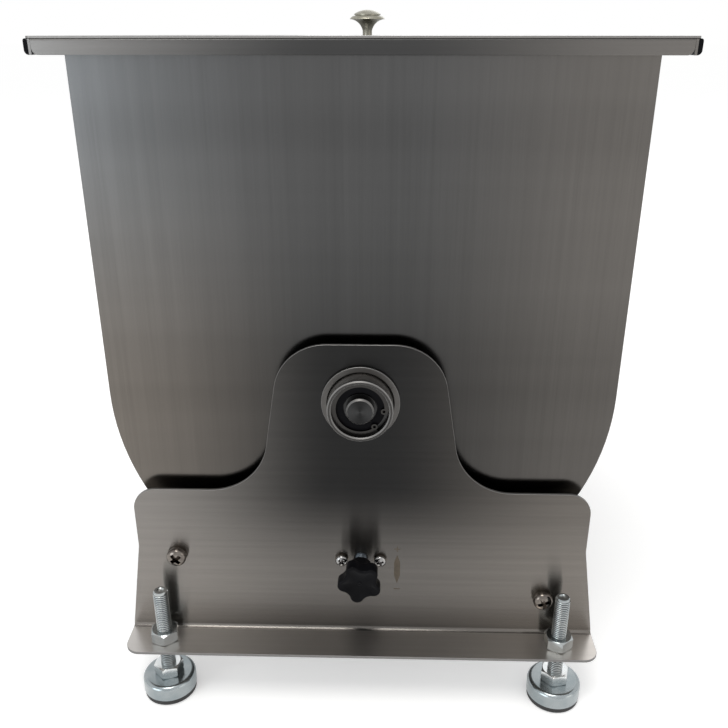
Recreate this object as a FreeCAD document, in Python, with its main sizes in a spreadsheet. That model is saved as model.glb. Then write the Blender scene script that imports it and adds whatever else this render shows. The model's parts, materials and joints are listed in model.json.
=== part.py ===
"""Tilting bowl mixer: a round-bottomed steel bowl with a lid, hung between two end plates on four feet.

Millimetres. +X is to the right as seen from the lock, +Y runs from the lock's end to the crank's end
and +Z is up. The origin is on the floor, under the middle of everything that the mixer covers.
"""
import FreeCAD
import Part
import math
import os
import re
import Sketcher
from FreeCAD import Placement, Rotation, Vector

SIZES = (
    ("bowl_radius", 158.0, "outside of the round bottom, and half the bowl's width"),
    ("bowl_length", 320.0, "over both end walls"),
    ("bowl_depth_over", 206.0, "from the pivot up to the bowl's lip"),
    ("bowl_sheet", 1.5, "steel sheet of the bowl"),
    ("lip_reach", 15.0, "how far the lip stands out"),
    ("lip_drop", 8.0, "height of the lip's skirt"),
    ("lip_hem", 3.6, "width of the folded hem along the long sides"),
    ("hem_end_gap", 0.5, "between the hem's inner leaf and the lip"),
    ("lip_round", 3.0, "outside radius at the foot of the hem"),
    ("lip_edge_round", 1.2, "outside radius at the top of the lip"),
    ("front_skirt_corner", 3.5, "round corners of the end walls' skirts"),
    ("plate_sheet", 2.0, "steel sheet of the end plates"),
    ("plate_gap", 8.0, "between an end plate and the bowl"),
    ("head_top", 37.3, "top of the plate's head above the pivot"),
    ("head_half", 48.5, "half width of the head where its sides reach the top"),
    ("head_corner", 33.0, "radius of the head's corners"),
    ("neck_half", 64.8, "half width where the head's sides reach the shoulders"),
    ("neck_corner", 38.0, "radius between head and shoulder"),
    ("shoulder_share", 0.405, "shoulders below the pivot, as a share of the bowl's radius"),
    ("shoulder_half", 148.5, "half width at the shoulders"),
    ("shoulder_corner", 15.0, "radius of the shoulders' corners"),
    ("flare_share", 0.4, "where the plate starts to widen, as a share of the way from shoulder to flange"),
    ("flange_half", 158.3, "half width of the bottom flange"),
    ("flange_gap", 15.6, "top of the flange below the bowl's round bottom"),
    ("flange_reach", 27.2, "how far the flange stands out from the plate's face"),
    ("flange_corner", 10.0, "round corners of the flange"),
    ("bend_inner", 2.5, "inside radius of the plate's bend"),
    ("bend_outer", 4.5, "outside radius of the plate's bend"),
    ("flange_rise", 41.9, "underside of the flange above the floor"),
    ("tube_radius", 20.0, "outside of the trunnion tube"),
    ("tube_out", 14.3, "how far the tube stands out from the plate's face"),
    ("tube_chamfer", 0.7, "chamfers at the tube's mouth"),
    ("tube_play", 0.05, "running clearance of the tube in its collar"),
    ("collar_radius", 24.1, "outside of the collar's flange"),
    ("collar_flange", 2.5, "thickness of the collar's flange"),
    ("collar_spigot", 22.5, "outside radius of the collar's spigot"),
    ("collar_inner", 4.0, "how far the spigot stands in from the plate"),
    ("collar_chamfer", 0.8, "chamfer at the mouth of the collar"),
    ("bearing_outer", 17.5, "outside radius of the ball bearing"),
    ("bearing_width", 10.0, "width of the ball bearing"),
    ("bearing_inset", 5.0, "bearing's face inside the tube's mouth"),
    ("race_outer_land", 15.2, "inside radius of the outer race"),
    ("race_inner_land", 11.1, "outside radius of the inner race beside its groove"),
    ("race_inner_face", 9.9, "outside radius of the inner race at its faces"),
    ("race_step", 1.8, "depth of the inner race's seat for the seals"),
    ("ball_radius", 2.38, "balls of the bearing"),
    ("ball_play", 0.32, "clearance of the balls in the outer groove"),
    ("ball_seat", 0.02, "clearance of the balls in the inner groove"),
    ("seal_inset", 0.4, "rubber seal inside the bearing's face"),
    ("seal_sheet", 1.0, "thickness of the rubber seal"),
    ("seal_play", 0.4, "clearance of the rubber seal round the inner race"),
    ("clip_wire", 1.5, "thickness of the retaining ring"),
    ("clip_inner", 14.7, "inside radius of the retaining ring"),
    ("clip_depth", 1.0, "how far the ring sits in its groove"),
    ("clip_play", 0.05, "clearance of the ring in its groove"),
    ("clip_lug", 1.9, "radius of the ring's eyes"),
    ("clip_lug_hole", 0.9, "radius of the holes in the ring's eyes"),
    ("clip_lug_ring", 14.4, "radius on which the eyes stand"),
    ("shaft_seal_width", 7.0, "width of the lip seal behind the bearing"),
    ("shaft_seal_gap", 0.3, "between the bearing and the lip seal"),
    ("shaft_seal_play", 0.05, "running clearance of the lip seal on the shaft"),
    ("shaft_radius", 8.5, "journals of the agitator shaft"),
    ("shaft_chamfer", 1.0, "chamfers at the ends of the shaft"),
    ("shaft_proud", 0.3, "how far the shaft stands out of the front tube"),
    ("shaft_clear", 1.0, "clearance of the shaft in the tube's inner end"),
    ("shaft_body", 11.0, "radius of the shaft inside the bowl"),
    ("shaft_shoulder_gap", 1.0, "between the shaft's shoulders and the end walls"),
    ("rod_radius", 5.0, "tie rods"),
    ("rod_left_gap", 3.66, "between the left tie rod and the bowl's round bottom"),
    ("rod_left_slope", 42.69, "degrees from the pivot down to the left tie rod"),
    ("rod_right_gap", 26.06, "between the right tie rod and the bowl's round bottom"),
    ("rod_right_slope", 49.61, "degrees from the pivot down to the right tie rod"),
    ("rod_tapping", 18.0, "depth of the tapped holes in the tie rods"),
    ("rod_screw_radius", 3.0, "shank of the tie rods' screws"),
    ("rod_screw_length", 16.0, "length of the tie rods' screws under the head"),
    ("rod_screw_head", 6.5, "head radius of the tie rods' screws"),
    ("rod_screw_height", 5.0, "head height of the tie rods' screws"),
    ("rod_washer", 1.6, "thickness of the tie rods' washers"),
    ("rod_washer_radius", 6.6, "outside radius of the tie rods' flat washers"),
    ("rod_spring_radius", 6.2, "outside radius of the tie rods' spring washers"),
    ("washer_bore_play", 0.2, "clearance of a washer round its screw"),
    ("spring_split", 12.0, "degrees left open in a spring washer"),
    ("lock_rise", 58.3, "lock above the top of the flange"),
    ("lock_screw_across", 12.8, "lock block's screws from the middle"),
    ("block_half", 19.0, "half width of the lock block"),
    ("block_half_height", 8.0, "half height of the lock block"),
    ("block_thick", 5.5, "thickness of the lock block"),
    ("block_corner", 3.0, "round corners of the lock block"),
    ("block_recess", 1.6, "depth of the recess that takes the pad"),
    ("block_recess_play", 0.4, "clearance of the pad in its recess"),
    ("stud_radius", 4.0, "lock stud"),
    ("stud_play", 0.05, "running clearance of the lock stud in its thread"),
    ("stud_tip_radius", 2.4, "tip of the lock stud in the pad"),
    ("stud_tip", 1.0, "length of the tip in the pad"),
    ("stud_tip_play", 0.1, "clearance of the tip in the pad"),
    ("pad_radius", 6.0, "lock pad"),
    ("pad_thick", 2.0, "thickness of the lock pad"),
    ("pad_gap", 0.3, "lock pad from the bowl's wall"),
    ("plate_hole_play", 0.5, "clearance of screws and studs in the end plate"),
    ("knob_face", 28.0, "knob's face from the plate"),
    ("knob_thick", 9.0, "thickness of the knob's lobes"),
    ("knob_hub", 7.5, "radius of the knob's hub"),
    ("knob_hub_gap", 8.0, "hub's end from the plate"),
    ("knob_bore_depth", 11.0, "depth of the stud in the knob"),
    ("knob_lobe", 3.6, "radius of a lobe"),
    ("knob_lobe_ring", 10.7, "radius on which the lobes stand"),
    ("knob_waist", 9.8, "radius of the knob between its lobes"),
    ("knob_edge", 0.7, "chamfer round the knob's lobes"),
    ("small_screw_radius", 2.0, "shank of the small screws"),
    ("small_screw_length", 6.0, "length of the small screws under the head"),
    ("small_screw_head", 4.0, "head radius of the small screws"),
    ("small_screw_height", 3.1, "head height of the small screws"),
    ("small_flat_washer", 0.8, "thickness of the small flat washers"),
    ("small_flat_radius", 4.5, "outside radius of the small flat washers"),
    ("small_spring_washer", 1.1, "thickness of the small spring washers"),
    ("small_spring_radius", 3.7, "outside radius of the small spring washers"),
    ("foot_inset", 24.8, "feet from the ends of the flange"),
    ("foot_out", 12.5, "feet in front of the plate's face"),
    ("foot_stud_radius", 5.0, "threaded studs of the feet"),
    ("foot_stud_top", 83.4, "top of the studs above the floor"),
    ("foot_stud_chamfer", 1.0, "chamfer at the top of a stud"),
    ("foot_stud_dimple", 2.5, "radius of the hollow in the top of a stud"),
    ("foot_head_radius", 11.0, "head of the stud inside the cup"),
    ("foot_thread_play", 0.05, "running clearance of the stud in its nut"),
    ("nut_flats", 17.0, "across the flats of the feet's nuts"),
    ("nut_height", 8.4, "height of the feet's nuts"),
    ("cup_radius", 18.0, "pressed cup of a foot"),
    ("cup_low", 4.4, "lower edge of the cup above the floor"),
    ("cup_top", 15.0, "top of the cup above the floor"),
    ("cup_sheet", 1.5, "steel sheet of the cup"),
    ("cup_corner", 3.0, "outside radius of the cup's top edge"),
    ("sole_radius", 17.5, "rubber sole under the cup"),
    ("sole_top", 9.9, "top of the rubber inside the cup"),
    ("sole_play", 0.1, "clearance of the rubber inside the cup"),
    ("sole_chamfer", 0.8, "chamfer at the foot of the sole"),
    ("lid_sheet", 1.2, "steel sheet of the lid"),
    ("lid_step", 0.5, "lid's edge inside the lip's edge"),
    ("lid_corner", 3.0, "round corners of the lid"),
    ("lid_rim_depth", 8.0, "depth of the ring that keeps the lid in the bowl's mouth"),
    ("lid_rim_play", 3.0, "clearance of that ring inside the bowl"),
    ("lid_knob_height", 16.6, "height of the lid's knob"),
    ("lid_knob_stem", 3.3, "stem of the lid's knob"),
    ("lid_knob_stem_height", 3.0, "straight part of the stem"),
    ("lid_knob_brim", 12.3, "radius of the knob's brim"),
    ("lid_knob_brim_height", 10.5, "height of the brim"),
    ("lid_knob_flare", 9.6, "hollow radius under the brim"),
    ("lid_knob_crown", 9.2, "radius of the cap on the brim"),
    ("lid_knob_crown_height", 13.0, "height at which the cap starts"),
    ("lid_knob_shoulder", 5.0, "round of the brim's upper side"),
    ("lid_knob_step", 0.6, "step round the cap"),
    ("lid_screw_depth", 8.0, "depth of the screw in the lid's knob"),
    ("paddle_hub", 17.0, "radius of a paddle's hub"),
    ("paddle_hub_length", 26.0, "length of a paddle's hub"),
    ("paddle_arm", 6.0, "radius of a paddle's arm"),
    ("paddle_blade_height", 48.0, "height of a blade"),
    ("paddle_blade_length", 70.0, "length of a blade"),
    ("paddle_blade_sheet", 4.0, "thickness of a blade"),
    ("paddle_wall_gap", 5.0, "between a blade and the bowl"),
    ("paddle_weld", 12.0, "how far the arm runs up the blade"),
    ("paddle_corner", 10.0, "round inner corners of a blade"),
    ("paddle_bolt_radius", 3.0, "bolts through the paddles' hubs"),
    ("paddle_bolt_flats", 10.0, "across the flats of those bolts"),
    ("paddle_bolt_head", 4.0, "head height of those bolts"),
    ("crank_gap", 3.0, "between the rear tube and the crank"),
    ("crank_hub", 16.0, "radius of the crank's hub"),
    ("crank_hub_length", 18.0, "length of the crank's hub"),
    ("crank_reach", 150.0, "from the shaft to the grip"),
    ("crank_half", 11.0, "half width of the crank's arm"),
    ("crank_thick", 8.0, "thickness of the crank's arm"),
    ("crank_screw_radius", 4.0, "set screw of the crank"),
    ("crank_screw_out", 3.0, "how far the set screw stands out"),
    ("crank_screw_depth", 0.8, "how far the set screw bites into the shaft"),
    ("grip_radius", 14.0, "crank's grip at its belly"),
    ("grip_end", 11.0, "crank's grip at its ends"),
    ("grip_land", 2.0, "straight part at each end of the grip"),
    ("grip_length", 88.0, "length of the grip"),
    ("grip_play", 0.4, "end play of the grip"),
    ("grip_bore_play", 0.08, "running clearance of the grip on its bolt"),
    ("grip_bolt_radius", 4.0, "bolt through the grip"),
    ("grip_bolt_head", 7.0, "head radius of that bolt"),
    ("grip_bolt_height", 4.5, "head height of that bolt"),
)

DERIVED = {
    "wall_front": "plate_sheet + plate_gap",
    "wall_rear": "wall_front + bowl_length",
    "rear_face": "wall_rear + plate_gap + plate_sheet",
    "middle": "rear_face / 2",
    "pivot_up": "flange_rise + plate_sheet + flange_drop",
    "lip_up": "pivot_up + bowl_depth_over",
    "bowl_inner": "bowl_radius - bowl_sheet",
    "shoulder_drop": "shoulder_share * bowl_radius",
    "flange_drop": "bowl_radius + flange_gap",
    "flare_drop": "shoulder_drop + flare_share * (flange_drop - shoulder_drop)",
    "rod_left_reach": "bowl_radius + rod_left_gap + rod_radius",
    "rod_left_across": "rod_left_reach * cos(rod_left_slope)",
    "rod_left_drop": "rod_left_reach * sin(rod_left_slope)",
    "rod_right_reach": "bowl_radius + rod_right_gap + rod_radius",
    "rod_right_across": "rod_right_reach * cos(rod_right_slope)",
    "rod_right_drop": "rod_right_reach * sin(rod_right_slope)",
    "lock_drop": "flange_drop - lock_rise",
    "foot_across": "flange_half - foot_inset",
    "lip_half": "bowl_radius + lip_reach",
    "inner_length": "bowl_length - 2 * bowl_sheet",
    "wall_inner_face": "wall_front + bowl_sheet",
    "bearing_in": "bearing_inset - tube_out",
    "bearing_back": "bearing_in + bearing_width",
    "bearing_middle": "bearing_in + bearing_width / 2",
    "ball_ring": "race_inner_land + ball_radius - 0.4 * (ball_radius - ball_seat)",
    "outer_groove": "ball_radius + ball_play",
    "inner_groove": "ball_radius + ball_seat",
    "outer_groove_half": "sqrt(outer_groove^2 - (race_outer_land - ball_ring)^2)",
    "inner_groove_half": "sqrt(inner_groove^2 - (ball_ring - race_inner_land)^2)",
    "clip_outer": "bearing_outer + clip_depth",
    "seal_front": "bearing_back + shaft_seal_gap",
    "seal_back": "seal_front + shaft_seal_width",
    "crank_front": "tube_out + crank_gap",
    "crank_back": "crank_front + crank_hub_length",
    "grip_front": "crank_back + grip_play",
    "grip_back": "grip_front + grip_length",
    "crank_end": "grip_back + grip_play + grip_bolt_height",
    "middle_along": "(rear_face + crank_end - foot_out - cup_radius) / 2",
    "rod_stack": "2 * rod_washer",
    "small_stack": "small_flat_washer + small_spring_washer",
    "lock_up": "pivot_up - lock_drop",
    "pad_back": "wall_front - pad_gap",
    "pad_front": "pad_back - pad_thick",
    "sweep": "bowl_inner - paddle_wall_gap",
    "blade_low": "sweep - paddle_blade_height",
    "dome_rise": "lid_knob_height - lid_knob_crown_height - lid_knob_step",
    "lid_knob_dome": "(lid_knob_crown^2 + dome_rise^2) / (2 * dome_rise)",
    "nut_face_radius": "0.48 * nut_flats",
    "nut_wide": "0.62 * nut_flats",
    "nut_corner_drop": "(nut_wide - nut_face_radius) * tan(30)",
    "grip_run": "grip_length / 2 - grip_land",
    "grip_rise": "grip_radius - grip_end",
    "grip_belly": "(grip_run^2 + grip_rise^2) / (2 * grip_rise)",
    "knob_valley": "(knob_lobe_ring^2 + knob_waist^2 - 2 * knob_lobe_ring * knob_waist * cos(36)"
                   " - knob_lobe^2) / (2 * (knob_lobe - knob_waist + knob_lobe_ring * cos(36)))",
}

PADDLES = 4
BALLS = 9
KNOB_LOBES = 5
# Degrees: the knob's first lobe, the mouth of the retaining rings, and how far a blade is skewed.
KNOB_TURN = 260.6
CLIP_GAP_FROM, CLIP_GAP_TO = -53.0, -5.0
PADDLE_SKEW = 30.0
# Degrees by which the nut on the flange and the nut on the cup are turned.
NUT_TURNS = {"left": (41, 19), "right": (35, 14)}
# Points on a domed screw head, as shares of its radius and its height.
SCREW_DOME = ((0, 1.0), (0.5, 0.94), (0.84, 0.74), (1.0, 0.3))
UPRIGHT = Rotation(Vector(1, 0, 0), 90)
ABOUT = Rotation(Vector(0, 0, 1), 180)
ACROSS = Rotation(Vector(0, 1, 0), 90)

doc = FreeCAD.newDocument("tilting_mixer")
sheet = doc.addObject("Spreadsheet::Sheet", "Sizes")
for row, (alias, value, note) in enumerate(SIZES, 1):
    sheet.set("A%d" % row, alias)
    sheet.set("B%d" % row, str(value))
    sheet.setAlias("B%d" % row, alias)
    sheet.set("C%d" % row, note)
doc.recompute()
ALIASES = {alias for alias, value, note in SIZES}
nodes = []


def formula(text):
    """Spell a formula out with the cells of the sheet."""
    def spell(match):
        word = match.group(0)
        if word in DERIVED:
            return "(%s)" % formula(DERIVED[word])
        return "Sizes." + word if word in ALIASES else word
    return re.sub(r"[a-z][a-z_]*", spell, text)


def number(text):
    """Work a formula out with the sheet's present values."""
    return float(sheet.evalExpression(formula(text)))


def bind(item, size, text):
    item.setExpression(size, formula(text))


def place(item, across, along, up, turn=None):
    """Stand a piece at its place, with along counted from the front plate's face and up from the floor."""
    if turn:
        item.Placement = Placement(Vector(), turn)
    bind(item, ".Placement.Base.x", across)
    bind(item, ".Placement.Base.y", "(%s) - middle_along" % along)
    bind(item, ".Placement.Base.z", up)
    return item


def place_at_end(item, end, across="0", up="pivot_up", turn=None):
    """Stand a piece that is drawn from its end plate's outer face, inwards along +Y."""
    spin = turn or Rotation()
    if end == "rear":
        return place(item, across, "rear_face", up, ABOUT.multiply(spin))
    return place(item, across, "0", up, spin)


def node(label, item):
    """Name a finished sub-part."""
    item.Label = label
    nodes.append(item)
    return item


def bundle(label, items):
    """Keep separate identical pieces in one sub-part."""
    group = doc.addObject("Part::Compound", label)
    group.Links = items
    return node(label, group)


def fix(sketch, kind, place_of_value, text):
    """Hold one measure of a sketch to its formula."""
    row = sketch.addConstraint(Sketcher.Constraint(kind, *place_of_value, number(text)))
    bind(sketch, "Constraints[%d]" % row, text)


def draw_arc(sketch, start, stop, radius, side):
    """Add the short arc from start to stop, with its centre on the named side of the way."""
    chord = stop - start
    sign = 1 if side == "left" else -1
    across = Vector(-chord.y, chord.x, 0).normalize()
    rise = math.sqrt(max(radius ** 2 - (chord.Length / 2) ** 2, 0))
    centre = (start + stop) * 0.5 + across * rise * sign
    first, second = (start, stop) if sign > 0 else (stop, start)
    begin = math.atan2(first.y - centre.y, first.x - centre.x)
    end = math.atan2(second.y - centre.y, second.x - centre.x)
    circle = Part.Circle(centre, Vector(0, 0, 1), radius)
    sketch.addGeometry(Part.ArcOfCircle(circle, begin, end), False)


def draw(sketch, path):
    """Draw a closed outline of corners; a corner with a radius and a side starts an arc."""
    points = [Vector(number(corner[0]), number(corner[1]), 0) for corner in path]
    first = sketch.GeometryCount
    ends = []
    for index, corner in enumerate(path):
        start, stop = points[index], points[(index + 1) % len(points)]
        if len(corner) == 2:
            sketch.addGeometry(Part.LineSegment(start, stop), False)
            ends.append((1, 2))
        else:
            draw_arc(sketch, start, stop, number(corner[2]), corner[3])
            ends.append((1, 2) if corner[3] == "left" else (2, 1))
    for index in range(len(path)):
        following = (index + 1) % len(path)
        sketch.addConstraint(Sketcher.Constraint(
            "Coincident", first + index, ends[index][1], first + following, ends[following][0]))
    for index, corner in enumerate(path):
        fix(sketch, "DistanceX", (-1, 1, first + index, ends[index][0]), corner[0])
        fix(sketch, "DistanceY", (-1, 1, first + index, ends[index][0]), corner[1])
        if len(corner) > 2:
            fix(sketch, "Radius", (first + index,), corner[2])


def draw_circle(sketch, across, up, radius):
    centre = Vector(number(across), number(up), 0)
    index = sketch.addGeometry(Part.Circle(centre, Vector(0, 0, 1), number(radius)), False)
    fix(sketch, "DistanceX", (-1, 1, index, 3), across)
    fix(sketch, "DistanceY", (-1, 1, index, 3), up)
    fix(sketch, "Radius", (index,), radius)


def new_body(name):
    return doc.addObject("PartDesign::Body", name)


def new_sketch(body, role, paths, circles=(), start=None):
    """Draw outlines and round holes on one of a body's own planes."""
    sketch = body.newObject("Sketcher::SketchObject", body.Name + "_outline")
    ground = next(item for item in body.Origin.OriginFeatures if item.Role == role)
    sketch.AttachmentSupport = [(ground, "")]
    sketch.MapMode = "FlatFace"
    if start:
        bind(sketch, ".AttachmentOffset.Base.z", start)
    for path in paths:
        draw(sketch, path)
    for circle in circles:
        draw_circle(sketch, *circle)
    return sketch


def pad(body, paths, length, circles=(), start=None):
    """Raise outlines on the body's XY plane by a length."""
    feature = body.newObject("PartDesign::Pad", body.Name + "_pad")
    feature.Profile = new_sketch(body, "XY_Plane", paths, circles, start)
    bind(feature, "Length", length)
    return feature


def turned(name, path, upright=False):
    """Turn an outline of radius and height about the body's Y axis, or its Z axis for an upright piece."""
    body = new_body(name)
    sketch = new_sketch(body, "XZ_Plane" if upright else "XY_Plane", [path])
    feature = body.newObject("PartDesign::Revolution", name + "_turn")
    feature.Profile = sketch
    feature.ReferenceAxis = (sketch, ["V_Axis"])
    feature.Angle = 360
    return body


def ring(outer, inner, low, high):
    """Outline of a plain ring for turned()."""
    return [(inner, low), (outer, low), (outer, high), (inner, high)]


def soften(body, kind, base, picks, size):
    """Round or chamfer the edges of a feature that pass through the picked points."""
    doc.recompute()
    names = []
    for pick in picks:
        point = Part.Vertex(Vector(*[number(text) for text in pick]))
        for index, edge in enumerate(base.Shape.Edges, 1):
            if edge.distToShape(point)[0] < 1e-4:
                names.append("Edge%d" % index)
    feature = body.newObject("PartDesign::" + kind, body.Name + "_" + kind.lower())
    feature.Base = (base, sorted(set(names)))
    bind(feature, "Radius" if kind == "Fillet" else "Size", size)
    return feature


def rectangle(left, right, low, high):
    return [(left, low), (right, low), (right, high), (left, high)]


def hexagon(flats, turn=0):
    return [("%s / sqrt(3) * cos(%d)" % (flats, corner), "%s / sqrt(3) * sin(%d)" % (flats, corner))
            for corner in range(turn, turn + 360, 60)]


def cylinder(name, radius, height, angle=None):
    item = doc.addObject("Part::Cylinder", name)
    bind(item, "Radius", radius)
    bind(item, "Height", height)
    if angle:
        bind(item, "Angle", angle)
    return item


def cut(name, base, tool):
    item = doc.addObject("Part::Cut", name)
    item.Base = base
    item.Tool = tool
    return item


def fuse(name, items):
    item = doc.addObject("Part::MultiFuse", name)
    item.Shapes = items
    return item


def end_plate(end):
    """Bent end plate with its keyhole-shaped head, drawn as seen from outside the mixer."""
    body = new_body(end + "_end_plate")
    low = "-(flange_drop + plate_sheet)"
    half = [("head_half", "head_top"), ("neck_half", "-shoulder_drop"), ("shoulder_half", "-shoulder_drop"),
            ("shoulder_half", "-flare_drop"), ("flange_half", low + " + bend_outer"), ("flange_half", low)]
    path = [("-" + across, up) for across, up in half] + half[::-1]
    side = "" if end == "front" else "-"
    holes = [("0", "0", "collar_spigot"),
             (side + "(-rod_left_across)", "-rod_left_drop", "rod_screw_radius + plate_hole_play"),
             (side + "rod_right_across", "-rod_right_drop", "rod_screw_radius + plate_hole_play")]
    if end == "front":
        holes.append(("0", "-lock_drop", "stud_radius + plate_hole_play"))
        holes += [(sign + "lock_screw_across", "-lock_drop", "small_screw_radius + plate_hole_play")
                  for sign in ("", "-")]
    pad(body, [path], "plate_sheet", holes)
    reach = "plate_sheet + flange_reach"
    bent = pad(body, [rectangle("-flange_half", "flange_half", low, "-flange_drop")], reach)
    rounds = (("head_half", "head_top", "head_corner"), ("neck_half", "-shoulder_drop", "neck_corner"),
              ("shoulder_half", "-shoulder_drop", "shoulder_corner"))
    for across, up, radius in rounds:
        picks = [(sign + across, up, "plate_sheet / 2") for sign in ("", "-")]
        bent = soften(body, "Fillet", bent, picks, radius)
    bent = soften(body, "Fillet", bent, [("0", "-flange_drop", "plate_sheet")], "bend_inner")
    bent = soften(body, "Fillet", bent, [("0", low, "0")], "bend_outer")
    tips = [(sign + "flange_half", "-flange_drop - plate_sheet / 2", reach) for sign in ("", "-")]
    soften(body, "Fillet", bent, tips, "flange_corner")
    node(end + "_end_plate", body)
    if end == "front":
        return place(body, "0", "plate_sheet", "pivot_up", UPRIGHT)
    return place(body, "0", "rear_face - plate_sheet", "pivot_up", ABOUT.multiply(UPRIGHT))


def foot_holes(end, plate):
    """Drill the flange for the studs of its two feet, and weld a nut over each hole."""
    drills = []
    for side in ("-", ""):
        name = end + "_flange_drill" + ("_left" if side else "_right")
        drill = cylinder(name, "foot_stud_radius + plate_hole_play", "3 * plate_sheet")
        along = "-foot_out" if end == "front" else "rear_face + foot_out"
        drills.append(place(drill, side + "foot_across", along, "flange_rise - plate_sheet"))
    drilled = cut(end + "_plate_drilled", plate, fuse(end + "_flange_drills", drills))
    nodes.remove(plate)
    plate.Label = end + "_plate_bent"
    node(end + "_end_plate", drilled)


def u_outline(radius, top):
    """Half-round bottom with straight sides, as three sides of a path from the left top to the right top."""
    return [("-" + radius, top), ("-" + radius, "0", radius, "left"), ("0", "-" + radius, radius, "left"),
            (radius, "0"), (radius, top)]


def bowl_wall(end):
    """End wall of the bowl with its folded lip and skirt, drawn as seen from outside."""
    body = new_body("bowl_%s_wall" % end)
    pad(body, [u_outline("bowl_radius", "bowl_depth_over")], "bowl_sheet", [("0", "0", "tube_radius")])
    top = "bowl_depth_over"
    lip = rectangle("bowl_sheet - lip_half", "lip_half - bowl_sheet", top + " - bowl_sheet", top)
    pad(body, [lip], "bowl_sheet + lip_reach")
    skirt_low = top + " - lip_drop"
    skirt = pad(body, [rectangle("lip_hem - lip_half", "lip_half - lip_hem", skirt_low, top)], "bowl_sheet",
                start="lip_reach")
    corners = [(sign + "(lip_half - lip_hem)", skirt_low, "lip_reach + bowl_sheet / 2") for sign in ("", "-")]
    skirt = soften(body, "Fillet", skirt, corners, "front_skirt_corner")
    soften(body, "Fillet", skirt, [("0", "bowl_depth_over", "lip_reach + bowl_sheet")], "lip_edge_round")
    node("bowl_%s_wall" % end, body)
    if end == "front":
        return place(body, "0", "wall_inner_face", "pivot_up", UPRIGHT)
    return place(body, "0", "wall_rear - bowl_sheet", "pivot_up", ABOUT.multiply(UPRIGHT))


def trough():
    """Round-bottomed trough with its long lips and their folded hems."""
    body = new_body("bowl_trough")
    top = "bowl_depth_over"
    fold = "bowl_depth_over - bowl_sheet"
    outer = u_outline("bowl_radius", fold)
    inner = [("bowl_inner", top), ("bowl_inner", "0", "bowl_inner", "right"),
             ("0", "-bowl_inner", "bowl_inner", "right"), ("-bowl_inner", "0"), ("-bowl_inner", top)]
    lip = "lip_half - bowl_sheet"
    path = [("-(%s)" % lip, fold)] + outer + [(lip, fold), (lip, top)] + inner + [("-(%s)" % lip, top)]
    pad(body, [path], "inner_length")
    hem_low = "bowl_depth_over - lip_drop"
    leaf = "lip_half - lip_hem"
    leaf_top = fold + " - hem_end_gap"
    hems = []
    for sign in ("", "-"):
        hem = [("lip_half", top), ("lip_half", hem_low), (leaf, hem_low), (leaf, leaf_top),
               (leaf + " + bowl_sheet", leaf_top), (leaf + " + bowl_sheet", hem_low + " + bowl_sheet"),
               (lip, hem_low + " + bowl_sheet"), (lip, top)]
        hems.append([(sign + "(%s)" % across, up) for across, up in hem])
    skirt = pad(body, hems, "inner_length + 2 * (bowl_sheet + lip_reach)", start="-(bowl_sheet + lip_reach)")
    for up, radius in ((hem_low, "lip_round"), (top, "lip_edge_round")):
        picks = [(sign + "lip_half", up, "inner_length / 2") for sign in ("", "-")]
        skirt = soften(body, "Fillet", skirt, picks, radius)
    node("bowl_trough", place(body, "0", "wall_rear - bowl_sheet", "pivot_up", UPRIGHT))


def trunnion(end):
    """Tube that is welded into the bowl's end wall, turns in the plate's collar and holds the bearing."""
    groove = "bearing_in - clip_wire - clip_play"
    path = [("shaft_radius + shaft_clear", "wall_inner_face"), ("shaft_radius + shaft_clear", "seal_back"),
            ("bearing_outer", "seal_back"), ("bearing_outer", "bearing_in"), ("clip_outer", "bearing_in"),
            ("clip_outer", groove), ("bearing_outer", groove), ("bearing_outer", "tube_chamfer - tube_out"),
            ("bearing_outer + tube_chamfer", "-tube_out"), ("tube_radius - tube_chamfer", "-tube_out"),
            ("tube_radius", "tube_chamfer - tube_out"), ("tube_radius", "wall_inner_face")]
    node(end + "_trunnion", place_at_end(turned(end + "_trunnion", path), end))


def collar(end):
    """Flanged bush in the end plate that carries the trunnion."""
    bore = "tube_radius + tube_play"
    path = [(bore, "collar_chamfer - collar_flange"), (bore + " + collar_chamfer", "-collar_flange"),
            ("collar_radius", "-collar_flange"), ("collar_radius", "0"), ("collar_spigot", "0"),
            ("collar_spigot", "plate_sheet + collar_inner"), (bore, "plate_sheet + collar_inner")]
    node(end + "_pivot_collar", place_at_end(turned(end + "_pivot_collar", path), end))


def outer_race(end):
    path = [("bearing_outer", "bearing_in"), ("bearing_outer", "bearing_back"),
            ("race_outer_land", "bearing_back"),
            ("race_outer_land", "bearing_middle + outer_groove_half", "outer_groove", "right"),
            ("race_outer_land", "bearing_middle - outer_groove_half"), ("race_outer_land", "bearing_in")]
    node(end + "_bearing_outer_race", place_at_end(turned(end + "_bearing_outer_race", path), end))


def inner_race(end):
    path = [("shaft_radius", "bearing_in"), ("race_inner_face", "bearing_in"),
            ("race_inner_face", "bearing_in + race_step"), ("race_inner_land", "bearing_in + race_step"),
            ("race_inner_land", "bearing_middle - inner_groove_half", "inner_groove", "right"),
            ("race_inner_land", "bearing_middle + inner_groove_half"),
            ("race_inner_land", "bearing_back - race_step"), ("race_inner_face", "bearing_back - race_step"),
            ("race_inner_face", "bearing_back"), ("shaft_radius", "bearing_back")]
    return place_at_end(turned(end + "_inner_race", path), end)


def bearing_seals(end):
    """Rubber shields in both faces of a bearing."""
    lip = "race_inner_face + seal_play"
    shields = []
    sides = (("outer", "bearing_in + seal_inset"), ("inner", "bearing_back - seal_inset - seal_sheet"))
    for face, low in sides:
        outline = ring("race_outer_land", lip, low, low + " + seal_sheet")
        shield = turned("%s_%s_shield" % (end, face), outline)
        shields.append(place_at_end(shield, end))
    bundle(end + "_bearing_seals", shields)


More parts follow.
